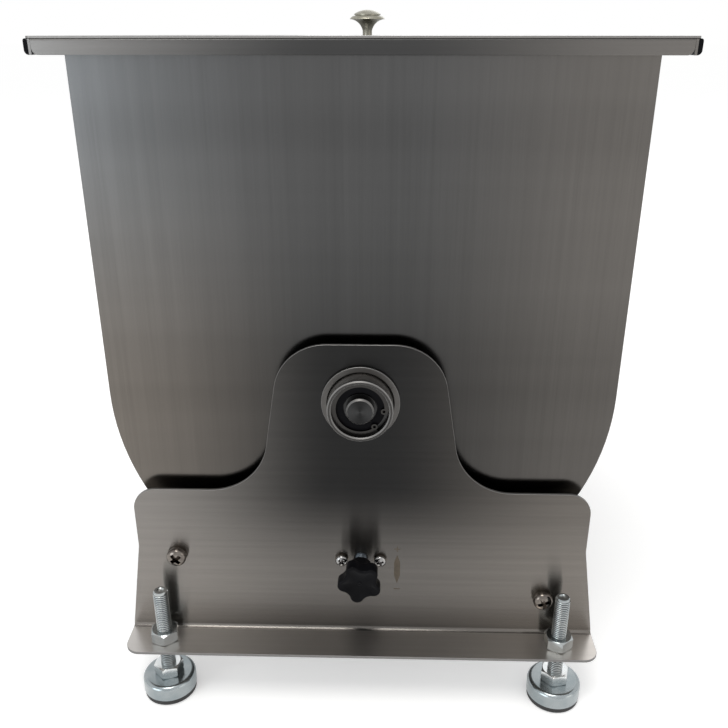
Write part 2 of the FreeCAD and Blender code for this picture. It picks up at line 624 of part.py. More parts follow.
def balls(end):
    """Ring of balls that runs on the inner race."""
    items = []
    for index in range(BALLS):
        turn = 360.0 / BALLS * index
        ball = doc.addObject("Part::Sphere", "%s_ball_%d" % (end, index + 1))
        bind(ball, "Radius", "ball_radius")
        bind(ball, ".Placement.Base.x", "ball_ring * cos(%g)" % turn)
        bind(ball, ".Placement.Base.y", "bearing_middle")
        bind(ball, ".Placement.Base.z", "ball_ring * sin(%g)" % turn)
        items.append(ball)
    group = doc.addObject("Part::Compound", end + "_ball_ring")
    group.Links = items
    return place_at_end(group, end)


def circlip(end):
    """Internal retaining ring with its two eyes, open at the lower right."""
    sweep = 360.0 - (CLIP_GAP_TO - CLIP_GAP_FROM)
    turn = Rotation(Vector(0, 0, 1), CLIP_GAP_TO)
    wire = cylinder(end + "_clip_wire", "clip_outer - clip_play", "clip_wire", "%g" % sweep)
    wire.Placement = Placement(Vector(), turn)
    eyes, eye_holes = [], []
    for angle, side in ((CLIP_GAP_TO, "a"), (CLIP_GAP_FROM, "b")):
        for items, name, radius in ((eyes, "eye", "clip_lug"), (eye_holes, "hole", "clip_lug_hole")):
            item = cylinder("%s_clip_%s_%s" % (end, name, side), radius, "clip_wire")
            bind(item, ".Placement.Base.x", "clip_lug_ring * cos(%g)" % angle)
            bind(item, ".Placement.Base.y", "clip_lug_ring * sin(%g)" % angle)
            items.append(item)
    opened = cut(end + "_clip_opened", wire, cylinder(end + "_clip_mouth", "clip_inner", "clip_wire"))
    whole = fuse(end + "_clip_whole", [opened] + eyes)
    item = cut(end + "_circlip", whole, fuse(end + "_clip_holes", eye_holes))
    node(end + "_circlip", item)
    if end == "front":
        return place(item, "0", "bearing_in", "pivot_up", UPRIGHT)
    return place(item, "0", "rear_face - bearing_in", "pivot_up", ABOUT.multiply(UPRIGHT))


def shaft_seal(end):
    path = ring("bearing_outer", "shaft_radius + shaft_seal_play", "seal_front", "seal_back")
    return place_at_end(turned(end + "_lip_seal", path), end)


def agitator_shaft():
    """Shaft from the front bearing through the bowl to the crank, cross-drilled for the paddles' bolts."""
    rear_shoulder = "wall_rear - bowl_sheet - shaft_shoulder_gap"
    front_shoulder = "wall_inner_face + shaft_shoulder_gap"
    front = "-(tube_out + shaft_proud)"
    back = "rear_face + crank_back"
    path = [("0", front), ("shaft_radius - shaft_chamfer", front),
            ("shaft_radius", front + " + shaft_chamfer"),
            ("shaft_radius", front_shoulder), ("shaft_body", front_shoulder), ("shaft_body", rear_shoulder),
            ("shaft_radius", rear_shoulder), ("shaft_radius", back + " - shaft_chamfer"),
            ("shaft_radius - shaft_chamfer", back), ("0", back)]
    blank = place(turned("shaft_blank", path), "0", "0", "pivot_up")
    drills = [shaft_drill(index) for index in range(PADDLES)]
    pocket = cylinder("shaft_pocket", "crank_screw_radius", "shaft_radius")
    drills.append(place(pocket, "0", crank_screw_along(), "pivot_up + shaft_radius - crank_screw_depth"))
    node("agitator_shaft", cut("agitator_shaft", blank, fuse("shaft_drills", drills)))


def shaft_drill(index):
    """Cross hole for a paddle's bolt, begun well outside the shaft and square to the paddle's arm."""
    degrees = 90 + 90 * index
    drill = cylinder("shaft_drill_%d" % (index + 1), "paddle_bolt_radius", "4 * shaft_body")
    drill.Placement = Placement(Vector(), Rotation(Vector(0, 1, 0), degrees))
    across = "-2 * shaft_body * sin(%d)" % degrees
    return place(drill, across, paddle_along(index), "pivot_up - 2 * shaft_body * cos(%d)" % degrees)


def crank_screw_along():
    return "rear_face + crank_front + (crank_hub_length - crank_thick) / 2"


def paddle_along(index):
    """Middle of a paddle's share of the bowl's length."""
    return "wall_inner_face + inner_length * %g" % ((index + 0.5) / PADDLES)


def paddle(index):
    """Paddle with a clamped hub, a round arm and a skewed blade whose end follows the bowl."""
    name = "paddle_%d" % (index + 1)
    blade = new_body(name + "_blade")
    plate = pad(blade, [rectangle("-paddle_blade_sheet / 2", "paddle_blade_sheet / 2",
                                  "-paddle_blade_length / 2", "paddle_blade_length / 2")],
                "sweep - blade_low", start="blade_low")
    corners = [("0", sign + "paddle_blade_length / 2", "blade_low") for sign in ("", "-")]
    soften(blade, "Fillet", plate, corners, "paddle_corner")
    blade.Placement = Placement(Vector(), Rotation(Vector(0, 0, 1), PADDLE_SKEW * (-1) ** index))
    swing = cylinder(name + "_swing", "sweep", "2 * paddle_blade_length")
    swing.Placement = Placement(Vector(), UPRIGHT)
    bind(swing, ".Placement.Base.y", "paddle_blade_length")
    trimmed = doc.addObject("Part::Common", name + "_trimmed")
    trimmed.Base, trimmed.Tool = blade, swing
    hub = cylinder(name + "_hub", "paddle_hub", "paddle_hub_length")
    hub.Placement = Placement(Vector(), UPRIGHT)
    bind(hub, ".Placement.Base.y", "paddle_hub_length / 2")
    arm = cylinder(name + "_arm", "paddle_arm", "blade_low + paddle_weld - shaft_radius")
    bind(arm, ".Placement.Base.z", "shaft_radius")
    bore = cylinder(name + "_bore", "shaft_body", "2 * paddle_hub_length")
    bore.Placement = Placement(Vector(), UPRIGHT)
    bind(bore, ".Placement.Base.y", "paddle_hub_length")
    drill = cylinder(name + "_drill", "paddle_bolt_radius", "4 * paddle_hub")
    drill.Placement = Placement(Vector(), ACROSS)
    bind(drill, ".Placement.Base.x", "-2 * paddle_hub")
    welded = fuse(name + "_welded", [hub, arm, trimmed])
    item = cut(name, welded, fuse(name + "_drills", [bore, drill]))
    node(name, place(item, "0", paddle_along(index), "pivot_up", Rotation(Vector(0, 1, 0), 90 * index)))


def paddle_bolt(index):
    body = new_body("paddle_bolt_%d" % (index + 1))
    pad(body, [hexagon("paddle_bolt_flats")], "paddle_bolt_head", start="paddle_hub")
    pad(body, [], "2 * paddle_hub", [("0", "0", "paddle_bolt_radius")], start="-paddle_hub")
    return place(body, "0", paddle_along(index), "pivot_up", Rotation(Vector(0, 1, 0), 90 * index + 90))


def tie_rod(side, across, drop):
    span = "rear_face - plate_sheet"
    path = [("0", "plate_sheet + rod_tapping"), ("rod_screw_radius", "plate_sheet + rod_tapping"),
            ("rod_screw_radius", "plate_sheet"), ("rod_radius", "plate_sheet"), ("rod_radius", span),
            ("rod_screw_radius", span), ("rod_screw_radius", span + " - rod_tapping"),
            ("0", span + " - rod_tapping")]
    node("tie_rod_" + side, place(turned("tie_rod_" + side, path), across, "0", "pivot_up - " + drop))


def pan_screw(name, radius, head, height, stack, length):
    """Domed screw whose head lies on a stack of washers outside the plate; drawn inwards along +Y."""
    dome = [("%g * %s" % (out, head), "-(%s + %g * %s)" % (stack, up, height)) for out, up in SCREW_DOME]
    seat, point = "-(%s)" % stack, "%s - (%s)" % (length, stack)
    return turned(name, dome + [(head, seat), (radius, seat), (radius, point), ("0", point)])


def spring_washer(name, outer, inner, thick):
    """Split ring on the plate's flat washer."""
    body = cylinder(name + "_disc", outer, thick, "360 - spring_split")
    return cut(name, body, cylinder(name + "_eye", inner, thick))


def tie_rod_fasteners():
    screws, flats, springs = [], [], []
    bore = "rod_screw_radius + washer_bore_play"
    for end in ("front", "rear"):
        for side, across, drop in (("left", "-rod_left_across", "rod_left_drop"),
                                   ("right", "rod_right_across", "rod_right_drop")):
            name = "%s_%s_rod" % (end, side)
            up = "pivot_up - " + drop
            screw = pan_screw(name + "_screw", "rod_screw_radius", "rod_screw_head", "rod_screw_height",
                              "rod_stack", "rod_screw_length")
            screws.append(place_at_end(screw, end, across, up))
            flat = turned(name + "_flat", ring("rod_washer_radius", bore, "-rod_washer", "0"))
            flats.append(place_at_end(flat, end, across, up))
            spring = spring_washer(name + "_spring", "rod_spring_radius", bore, "rod_washer")
            along = "-rod_washer" if end == "front" else "rear_face + rod_washer"
            turn = UPRIGHT if end == "front" else ABOUT.multiply(UPRIGHT)
            springs.append(place(spring, across, along, up, turn))
    bundle("tie_rod_screws", screws)
    bundle("tie_rod_flat_washers", flats)
    bundle("tie_rod_spring_washers", springs)


def lock_fasteners():
    screws, flats, springs = [], [], []
    bore = "small_screw_radius + washer_bore_play"
    for sign, side in (("-", "left"), ("", "right")):
        across = sign + "lock_screw_across"
        name = side + "_block"
        screw = pan_screw(name + "_screw", "small_screw_radius", "small_screw_head", "small_screw_height",
                          "small_stack", "small_screw_length")
        screws.append(place_at_end(screw, "front", across, "lock_up"))
        flat = turned(name + "_flat", ring("small_flat_radius", bore, "-small_flat_washer", "0"))
        flats.append(place_at_end(flat, "front", across, "lock_up"))
        spring = spring_washer(name + "_spring", "small_spring_radius", bore, "small_spring_washer")
        springs.append(place(spring, across, "-small_flat_washer", "lock_up", UPRIGHT))
    bundle("lock_block_screws", screws)
    bundle("lock_flat_washers", flats)
    bundle("lock_spring_washers", springs)


def lock_block():
    """Tapped block behind the front plate, with a recess for the pad."""
    body = new_body("lock_block")
    outline = rectangle("-block_half", "block_half", "-block_half_height", "block_half_height")
    screws = [(sign + "lock_screw_across", "0", "small_screw_radius") for sign in ("", "-")]
    pad(body, [outline], "block_recess", screws + [("0", "0", "pad_radius + block_recess_play")])
    thread = [("0", "0", "stud_radius + stud_play")]
    base = pad(body, [outline], "block_thick - block_recess", screws + thread, "block_recess")
    depths = ("block_recess / 2", "(block_recess + block_thick) / 2")
    corners = [(sign + "block_half", rise + "block_half_height", depth)
               for sign in ("", "-") for rise in ("", "-") for depth in depths]
    soften(body, "Fillet", base, corners, "block_corner")
    node("lock_block", place(body, "0", "plate_sheet + block_thick", "lock_up", UPRIGHT))


def lock_pad():
    hole = "stud_tip_radius + stud_tip_play"
    floor = "pad_front + stud_tip + stud_tip_play"
    path = [("0", floor), (hole, floor), (hole, "pad_front"), ("pad_radius", "pad_front"),
            ("pad_radius", "pad_back"), ("0", "pad_back")]
    node("lock_pad", place(turned("lock_pad", path), "0", "0", "lock_up"))


def lock_stud():
    front = "-(knob_hub_gap + knob_bore_depth)"
    shoulder = "pad_front - stud_tip_play"
    path = [("0", front), ("stud_radius", front), ("stud_radius", shoulder), ("stud_tip_radius", shoulder),
            ("stud_tip_radius", "pad_front + stud_tip"), ("0", "pad_front + stud_tip")]
    node("lock_stud", place(turned("lock_stud", path), "0", "0", "lock_up"))


def lobe_end(lobe, valley):
    """Point where a lobe's arc meets a hollow's arc, on the line between their centres."""
    share = "knob_lobe / (knob_lobe + knob_valley)"
    spot = []
    for way in ("cos", "sin"):
        lobe_centre = "knob_lobe_ring * %s(%g)" % (way, lobe)
        hollow_centre = "(knob_waist + knob_valley) * %s(%g)" % (way, valley)
        spot.append("%s + (%s) * (%s - %s)" % (lobe_centre, share, hollow_centre, lobe_centre))
    return spot


def star(turn):
    """Outline of round lobes joined by hollow arcs, with every arc tangent to the next."""
    path = []
    half_step = 180.0 / KNOB_LOBES
    for index in range(KNOB_LOBES):
        lobe = turn + 2 * half_step * index
        tip = ["(knob_lobe_ring + knob_lobe) * %s(%g)" % (way, lobe) for way in ("cos", "sin")]
        path.append((*lobe_end(lobe, lobe - half_step), "knob_lobe", "left"))
        path.append((*tip, "knob_lobe", "left"))
        path.append((*lobe_end(lobe, lobe + half_step), "knob_valley", "right"))
    return path


def knob_edges(lobes):
    """Names of the edges round both faces of the knob's lobes."""
    doc.recompute()
    names = []
    inside = number("knob_waist - 2 * knob_edge")
    for index, edge in enumerate(lobes.Shape.Edges, 1):
        box = edge.BoundBox
        for face in ("knob_face", "knob_face - knob_thick"):
            level = max(abs(box.ZMin - number(face)), abs(box.ZMax - number(face))) < 1e-4
            if level and math.hypot(box.Center.x, box.Center.y) > inside:
                names.append("Edge%d" % index)
    return names


def lock_knob():
    """Star knob with a hub, a blind bore for the stud and a dimple in its face."""
    body = new_body("lock_knob")
    circles = [("0", "0", "knob_hub"), ("0", "0", "stud_radius")]
    pad(body, [], "knob_bore_depth", circles, "knob_hub_gap")
    lobes = pad(body, [star(KNOB_TURN)], "knob_thick", start="knob_face - knob_thick")
    chamfer = body.newObject("PartDesign::Chamfer", "knob_chamfer")
    chamfer.Base = (lobes, knob_edges(lobes))
    bind(chamfer, "Size", "knob_edge")
    node("lock_knob", place(body, "0", "0", "lock_up", UPRIGHT))


def hex_nut(name, bore, turn):
    """Nut with its corners chamfered at both faces, standing on its own XY plane."""
    body = new_body(name)
    pad(body, [hexagon("nut_flats", turn)], "nut_height", [("0", "0", bore)])
    for face, way in (("0", "+"), ("nut_height", "-")):
        corner = "%s %s nut_corner_drop" % (face, way)
        outline = [("nut_face_radius", face), ("nut_wide", face), ("nut_wide", corner)]
        sketch = new_sketch(body, "XZ_Plane", [outline])
        groove = body.newObject("PartDesign::Groove", name + "_corners")
        groove.Profile = sketch
        groove.ReferenceAxis = (sketch, ["V_Axis"])
        groove.Angle = 360
        body.Tip = groove
    return body


def foot(end, side):
    """Levelling foot: stud with its head in the cup, nut that clamps it, pressed cup and rubber sole."""
    name = "foot_%s_%s" % (end, side)
    across = ("-" if side == "left" else "") + "foot_across"
    along = "-foot_out" if end == "front" else "rear_face + foot_out"
    ceiling = "cup_top - cup_sheet"
    stud = [("0", "sole_top"), ("foot_head_radius", "sole_top"), ("foot_head_radius", ceiling),
            ("foot_stud_radius", ceiling), ("foot_stud_radius", "foot_stud_top - foot_stud_chamfer"),
            ("foot_stud_radius - foot_stud_chamfer", "foot_stud_top"), ("foot_stud_dimple", "foot_stud_top"),
            ("0", "foot_stud_top - foot_stud_dimple / 2")]
    node(name + "_stud", place(turned(name + "_stud", stud, True), across, along, "0"))
    weld_turn, clamp_turn = NUT_TURNS[side]
    nut = hex_nut(name + "_nut", "foot_stud_radius", clamp_turn)
    node(name + "_nut", place(nut, across, along, "cup_top"))
    corner = "cup_top - cup_corner"
    cup = [("foot_stud_radius", ceiling),
           ("cup_radius - cup_corner", ceiling, "cup_corner - cup_sheet", "right"),
           ("cup_radius - cup_sheet", corner), ("cup_radius - cup_sheet", "cup_low"),
           ("cup_radius", "cup_low"),
           ("cup_radius", corner, "cup_corner", "left"), ("cup_radius - cup_corner", "cup_top"),
           ("foot_stud_radius", "cup_top")]
    node(name + "_cup", place(turned(name + "_cup", cup, True), across, along, "0"))
    plug = "cup_radius - cup_sheet - sole_play"
    sole = [("0", "0"), ("sole_radius - sole_chamfer", "0"), ("sole_radius", "sole_chamfer"),
            ("sole_radius", "cup_low"), (plug, "cup_low"), (plug, "sole_top"), ("0", "sole_top")]
    node(name + "_sole", place(turned(name + "_sole", sole, True), across, along, "0"))
    weld = hex_nut(name + "_weld_nut", "foot_stud_radius + foot_thread_play", weld_turn)
    return place(weld, across, along, "flange_rise + plate_sheet")


def lid():
    """Flat lid with a ring under it that keeps it in the bowl's mouth."""
    body = new_body("lid_panel")
    half = "lip_half - lid_step"
    run = "bowl_length / 2 + lip_reach - lid_step"
    screw = [("0", "0", "small_screw_radius")]
    panel = pad(body, [rectangle("-(%s)" % half, half, "-(%s)" % run, run)], "lid_sheet", screw)
    corners = [(sign + "(%s)" % half, rise + "(%s)" % run, "lid_sheet / 2")
               for sign in ("", "-") for rise in ("", "-")]
    soften(body, "Fillet", panel, corners, "lid_corner")
    ring_half = "bowl_inner - lid_rim_play"
    ring_run = "inner_length / 2 - lid_rim_play"
    outer = rectangle("-(%s)" % ring_half, ring_half, "-(%s)" % ring_run, ring_run)
    inner = rectangle("-(%s - lid_sheet)" % ring_half, "%s - lid_sheet" % ring_half,
                      "-(%s - lid_sheet)" % ring_run, "%s - lid_sheet" % ring_run)
    pad(body, [outer, inner], "lid_rim_depth", start="-lid_rim_depth")
    node("lid_panel", place(body, "0", "middle", "lip_up"))


def lid_knob():
    """Turned knob: straight stem, hollow flare, sharp brim, stepped cap."""
    crown = "lid_knob_crown_height"
    path = [("0", "lid_screw_depth"), ("small_screw_radius", "lid_screw_depth"), ("small_screw_radius", "0"),
            ("lid_knob_stem", "0"), ("lid_knob_stem", "lid_knob_stem_height", "lid_knob_flare", "right"),
            ("lid_knob_brim", "lid_knob_brim_height", "lid_knob_shoulder", "left"),
            ("lid_knob_crown + lid_knob_step", crown), ("lid_knob_crown", crown),
            ("lid_knob_crown", crown + " + lid_knob_step", "lid_knob_dome", "left"),
            ("0", "lid_knob_height")]
    node("lid_knob", place(turned("lid_knob", path, True), "0", "middle", "lip_up + lid_sheet"))
    depth = "lid_sheet + lid_screw_depth"
    screw = [("%g * small_screw_head" % out, "-%g * small_screw_height" % up) for out, up in SCREW_DOME]
    screw += [("small_screw_head", "0"), ("small_screw_radius", "0"), ("small_screw_radius", depth),
              ("0", depth)]
    node("lid_knob_screw", place(turned("lid_knob_screw", screw, True), "0", "middle", "lip_up"))


def crank():
    """Crank arm with a clamped hub, its set screw, the grip's bolt and the free grip."""
    body = new_body("crank_arm_blank")
    pad(body, [], "crank_hub_length", [("0", "0", "crank_hub"), ("0", "0", "shaft_radius")], "crank_front")
    side = "crank_half"
    arm = [("-" + side, "-crank_reach", side, "left"), ("0", "-(crank_reach + crank_half)", side, "left"),
           (side, "-crank_reach"), (side, "0"), ("-" + side, "0")]
    pad(body, [arm], "crank_thick", [("0", "-crank_reach", "grip_bolt_radius")], "crank_back - crank_thick")
    blank = place(body, "0", "rear_face", "pivot_up", ABOUT.multiply(UPRIGHT))
    bore = cylinder("crank_bore", "shaft_radius", "3 * crank_hub_length")
    place(bore, "0", "rear_face + 2 * crank_back", "pivot_up", UPRIGHT)
    tap = cylinder("crank_tap", "crank_screw_radius", "2 * crank_hub")
    place(tap, "0", crank_screw_along(), "pivot_up")
    node("crank_arm", cut("crank_arm", blank, fuse("crank_drills", [bore, tap])))
    bite = "shaft_radius - crank_screw_depth"
    screw = cylinder("crank_set_screw", "crank_screw_radius", "crank_hub + crank_screw_out - (%s)" % bite)
    node("crank_set_screw", place(screw, "0", crank_screw_along(), "pivot_up + " + bite))
    head = "-(grip_back + grip_play)"
    bolt = [("0", "-crank_end"), ("grip_bolt_head", "-crank_end"), ("grip_bolt_head", head),
            ("grip_bolt_radius", head),
            ("grip_bolt_radius", "crank_thick - crank_back"), ("0", "crank_thick - crank_back")]
    low = "pivot_up - crank_reach"
    node("crank_grip_bolt", place_at_end(turned("crank_grip_bolt", bolt), "rear", "0", low))
    bore_radius = "grip_bolt_radius + grip_bore_play"
    grip = [(bore_radius, "-grip_back"), ("grip_end", "-grip_back"),
            ("grip_end", "grip_land - grip_back", "grip_belly", "left"),
            ("grip_end", "-grip_front - grip_land"),
            ("grip_end", "-grip_front"), (bore_radius, "-grip_front")]
    node("crank_grip", place_at_end(turned("crank_grip", grip), "rear", "0", low))


def build():
    for end in ("front", "rear"):
        foot_holes(end, end_plate(end))
        bowl_wall(end)
        trunnion(end)
        collar(end)
        outer_race(end)
        bearing_seals(end)
        circlip(end)
    trough()
    bundle("shaft_seals", [shaft_seal(end) for end in ("front", "rear")])
    bundle("bearing_inner_races", [inner_race(end) for end in ("front", "rear")])
    bundle("bearing_balls", [balls(end) for end in ("front", "rear")])
    agitator_shaft()
    for index in range(PADDLES):
        paddle(index)
    bundle("paddle_bolts", [paddle_bolt(index) for index in range(PADDLES)])
    tie_rod("left", "-rod_left_across", "rod_left_drop")
    tie_rod("right", "rod_right_across", "rod_right_drop")
    tie_rod_fasteners()
    lock_fasteners()
    lock_block()
    lock_pad()
    lock_stud()
    lock_knob()
    bundle("foot_weld_nuts", [foot(end, side) for end in ("front", "rear") for side in ("left", "right")])
    lid()
    lid_knob()
    crank()


def write():
    """Check every object and shape, then write one file for each sub-part."""
    doc.recompute()
    broken = [item.Label for item in doc.Objects if {"Invalid", "Error"} & set(item.State)]
    if broken:
        raise RuntimeError("not built: " + ", ".join(broken))
    for item in nodes:
        if item.Shape.isNull() or not item.Shape.isValid() or not item.Shape.Solids:
            raise RuntimeError("no sound shape: " + item.Label)
    os.makedirs("parts", exist_ok=True)
    for item in nodes:
        item.Shape.exportStep(os.path.join("parts", item.Label + ".step"))


build()
write()
print(len(nodes), "sub-parts")
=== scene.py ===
"""Tilting bowl mixer: finishes, threads, screws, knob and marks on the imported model, in metres."""
import json
import math

import bmesh
import bpy
from mathutils import Matrix, Vector


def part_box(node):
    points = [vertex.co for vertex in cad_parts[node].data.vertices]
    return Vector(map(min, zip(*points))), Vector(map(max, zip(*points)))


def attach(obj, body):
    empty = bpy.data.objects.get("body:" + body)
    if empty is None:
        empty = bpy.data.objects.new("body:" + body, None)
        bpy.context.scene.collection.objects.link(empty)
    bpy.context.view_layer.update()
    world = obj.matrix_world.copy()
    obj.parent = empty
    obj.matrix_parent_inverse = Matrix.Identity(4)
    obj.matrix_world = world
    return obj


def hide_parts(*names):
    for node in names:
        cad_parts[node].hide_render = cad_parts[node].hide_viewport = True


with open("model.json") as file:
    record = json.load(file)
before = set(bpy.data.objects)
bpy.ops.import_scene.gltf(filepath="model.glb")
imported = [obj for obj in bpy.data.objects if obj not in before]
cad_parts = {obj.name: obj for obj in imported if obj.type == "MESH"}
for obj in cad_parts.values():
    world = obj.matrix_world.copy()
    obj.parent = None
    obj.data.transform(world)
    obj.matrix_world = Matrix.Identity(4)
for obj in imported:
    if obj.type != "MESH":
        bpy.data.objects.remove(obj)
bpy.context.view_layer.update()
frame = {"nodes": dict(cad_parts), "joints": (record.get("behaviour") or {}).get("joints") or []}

MM = 0.001
NODES = frame["nodes"]
JOINTS = {joint["name"]: joint for joint in frame["joints"]}
FEET = ("foot_front_left", "foot_front_right", "foot_rear_left", "foot_rear_right")

PLATE_SHEET = 2 * MM
PIVOT = Vector(JOINTS["bowl_tilt"]["pos_m"])
LOCK = Vector(JOINTS["lock_turn"]["pos_m"])
PLATE_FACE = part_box("tie_rod_left")[0][1] - PLATE_SHEET
REAR_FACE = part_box("tie_rod_left")[1][1] + PLATE_SHEET
TURN_SIDES = 64


def middle(node):
    """Middle of a node's box."""
    low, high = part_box(node)
    return (Vector(low) + Vector(high)) / 2


# Tools for shader nodes

def node_at(tree, kind, **values):
    """Add a node and set its inputs by name."""
    node = tree.nodes.new(kind)
    for key, value in values.items():
        if key.startswith("set_"):
            setattr(node, key[4:], value)
        else:
            node.inputs[key.replace("_", " ")].default_value = value
    return node


def feed(tree, socket, value):
    """Link a socket to another node's output, or give it a plain value."""
    if isinstance(value, bpy.types.NodeSocket):
        tree.links.new(value, socket)
    else:
        socket.default_value = value


def math_node(tree, operation, first, second=None):
    node = node_at(tree, "ShaderNodeMath", set_operation=operation)
    feed(tree, node.inputs[0], first)
    if second is not None:
        feed(tree, node.inputs[1], second)
    return node.outputs[0]


def vector_node(tree, operation, first, second):
    node = node_at(tree, "ShaderNodeVectorMath", set_operation=operation)
    feed(tree, node.inputs[0], first)
    feed(tree, node.inputs[1], second)
    return node.outputs[0]


def parts_of(tree, vector):
    """X, Y and Z of a vector."""
    node = tree.nodes.new("ShaderNodeSeparateXYZ")
    tree.links.new(vector, node.inputs[0])
    return node.outputs


def noise(tree, vector, scale, detail, roughness=0.5):
    node = node_at(tree, "ShaderNodeTexNoise", Detail=detail, Roughness=roughness)
    feed(tree, node.inputs["Scale"], scale)
    feed(tree, node.inputs["Vector"], vector)
    return node.outputs["Fac"]


def spread(tree, value, low, high, start=0.0, stop=1.0):
    """Map start..stop to low..high with soft ends."""
    node = node_at(tree, "ShaderNodeMapRange", From_Min=start, From_Max=stop, To_Min=low, To_Max=high,
                   set_interpolation_type="SMOOTHSTEP")
    feed(tree, node.inputs["Value"], value)
    return node.outputs["Result"]


def sway(tree, value, amount):
    """Turn a value of 0..1 into a change round zero."""
    return math_node(tree, "MULTIPLY", math_node(tree, "SUBTRACT", value, 0.5), amount)


def tint(tree, colour, amount):
    """Multiply a colour by a value."""
    node = node_at(tree, "ShaderNodeVectorMath", set_operation="SCALE")
    feed(tree, node.inputs[0], colour)
    feed(tree, node.inputs["Scale"], amount)
    return node.outputs[0]


def blend(tree, share, first, second):
    """Mix two colours by a share."""
    mix = node_at(tree, "ShaderNodeMix", set_data_type="RGBA")
    for index, value in ((0, share), (6, first), (7, second)):
        tree.links.new(value, mix.inputs[index])
    return mix.outputs[2]


def relief(tree, height, strength, depth):
    """Normal of a surface that a height roughens; depth is in metres."""
    bump = node_at(tree, "ShaderNodeBump", Strength=strength)
    feed(tree, bump.inputs["Distance"], depth)
    feed(tree, bump.inputs["Height"], height)
    return bump.outputs[0]


# Camera, stage and light

CAMERA_AT = Vector((0.01347, -0.6596, 0.42551))
CAMERA_LOOK = Vector((-0.02393, 0.92339, -0.38312))
FOCAL = 39.34
SENSOR = 36
SKY_LIGHT = 0.72
FLOOR_GLOW = 0.36
FLOOR_REACH = 40.0


def set_camera():
    lens = bpy.data.cameras.new("Camera")
    lens.lens = FOCAL
    lens.sensor_width = SENSOR
    lens.clip_start = 0.01
    camera = bpy.data.objects.new("Camera", lens)
    camera.location = CAMERA_AT
    camera.rotation_euler = CAMERA_LOOK.to_track_quat("-Z", "Y").to_euler()
    bpy.context.scene.collection.objects.link(camera)
    bpy.context.scene.camera = camera


def sight_mask(tree):
    """1 for what the camera sees directly or in gloss and glass, 0 for plain lighting."""
    ray = tree.nodes.new("ShaderNodeLightPath").outputs
    mirrored = math_node(tree, "MAXIMUM", ray["Is Glossy Ray"], ray["Is Transmission Ray"])
    return math_node(tree, "MAXIMUM", ray["Is Camera Ray"], mirrored)


def set_world():
    world = bpy.data.worlds.new("Studio")
    bpy.context.scene.world = world
    world.use_nodes = True
    tree = world.node_tree
    tree.nodes.clear()
    background = node_at(tree, "ShaderNodeBackground", Color=(1, 1, 1, 1))
    tree.links.new(spread(tree, sight_mask(tree), SKY_LIGHT, 1.0), background.inputs["Strength"])
    output = tree.nodes.new("ShaderNodeOutputWorld")
    tree.links.new(background.outputs[0], output.inputs["Surface"])


def set_floor():
    """Wide pale floor that keeps the mixer's soft shadow."""
    material = bpy.data.materials.new("Pale floor")
    material.use_nodes = True
    tree = material.node_tree
    tree.nodes.clear()
    matt = node_at(tree, "ShaderNodeBsdfDiffuse", Color=(0.88, 0.88, 0.88, 1))
    glow = node_at(tree, "ShaderNodeEmission", Color=(1, 1, 1, 1))
    tree.links.new(math_node(tree, "MULTIPLY", sight_mask(tree), FLOOR_GLOW), glow.inputs["Strength"])
    both = tree.nodes.new("ShaderNodeAddShader")
    tree.links.new(matt.outputs[0], both.inputs[0])
    tree.links.new(glow.outputs[0], both.inputs[1])
    output = tree.nodes.new("ShaderNodeOutputMaterial")
    tree.links.new(both.outputs[0], output.inputs["Surface"])
    mesh = bpy.data.meshes.new("floor")
    corners = [(across * FLOOR_REACH, along * FLOOR_REACH, 0)
               for across, along in ((-1, -1), (1, -1), (1, 1), (-1, 1))]
    mesh.from_pydata(corners, [], [(0, 1, 2, 3)])
    mesh.materials.append(material)
    floor = bpy.data.objects.new("floor", mesh)
    floor.location.z = -0.2 * MM
    bpy.context.scene.collection.objects.link(floor)


# Name, place, edge in metres, watts and colour
LAMPS = (
    ("ceiling_lamp", (-0.25, -0.95, 2.3), 0.9, 17.0, (1.0, 0.98, 0.94)),
    ("left_window", (-1.6, -1.9, 0.55), 1.2, 14.5, (0.9, 0.96, 1.0)),
    ("right_wall", (1.9, -1.4, 0.7), 1.0, 2.8, (1.0, 0.94, 0.86)),
    ("rear_fill", (0.4, 2.4, 1.3), 1.5, 7.0, (1.0, 1.0, 1.0)),
)


def set_lamps():
    for name, place, size, power, colour in LAMPS:
        lamp = bpy.data.lights.new(name, "AREA")
        lamp.size = size
        lamp.energy = power
        lamp.color = colour
        item = bpy.data.objects.new(name, lamp)
        item.location = place
        item.rotation_euler = (PIVOT - Vector(place)).to_track_quat("-Z", "Y").to_euler()
        bpy.context.scene.collection.objects.link(item)


# Finishes

SURFACE = (("Colour", "Color"), ("Roughness", "Float"), ("Normal", "Vector"))


def new_group(name, inputs):
    """Node group for a surface: the group, what it is given, the place on the piece, and its results."""
    group = bpy.data.node_groups.new(name, "ShaderNodeTree")
    for label, kind, value in inputs:
        socket = group.interface.new_socket(label, in_out="INPUT", socket_type="NodeSocket" + kind)
        socket.default_value = value
    for label, kind in SURFACE:
        group.interface.new_socket(label, in_out="OUTPUT", socket_type="NodeSocket" + kind)
    given = group.nodes.new("NodeGroupInput").outputs
    result = group.nodes.new("NodeGroupOutput").inputs
    place = group.nodes.new("ShaderNodeTexCoord").outputs["Object"]
    return group, given, place, result


# Each level and column of a brushed piece gets its own colour: painted reflection and shade, not the steel's
# own tone.
LEVELS = ("Lower", "Upper")
COLUMNS = ("middle", "left", "right")
FINE_SHARE = 0.55


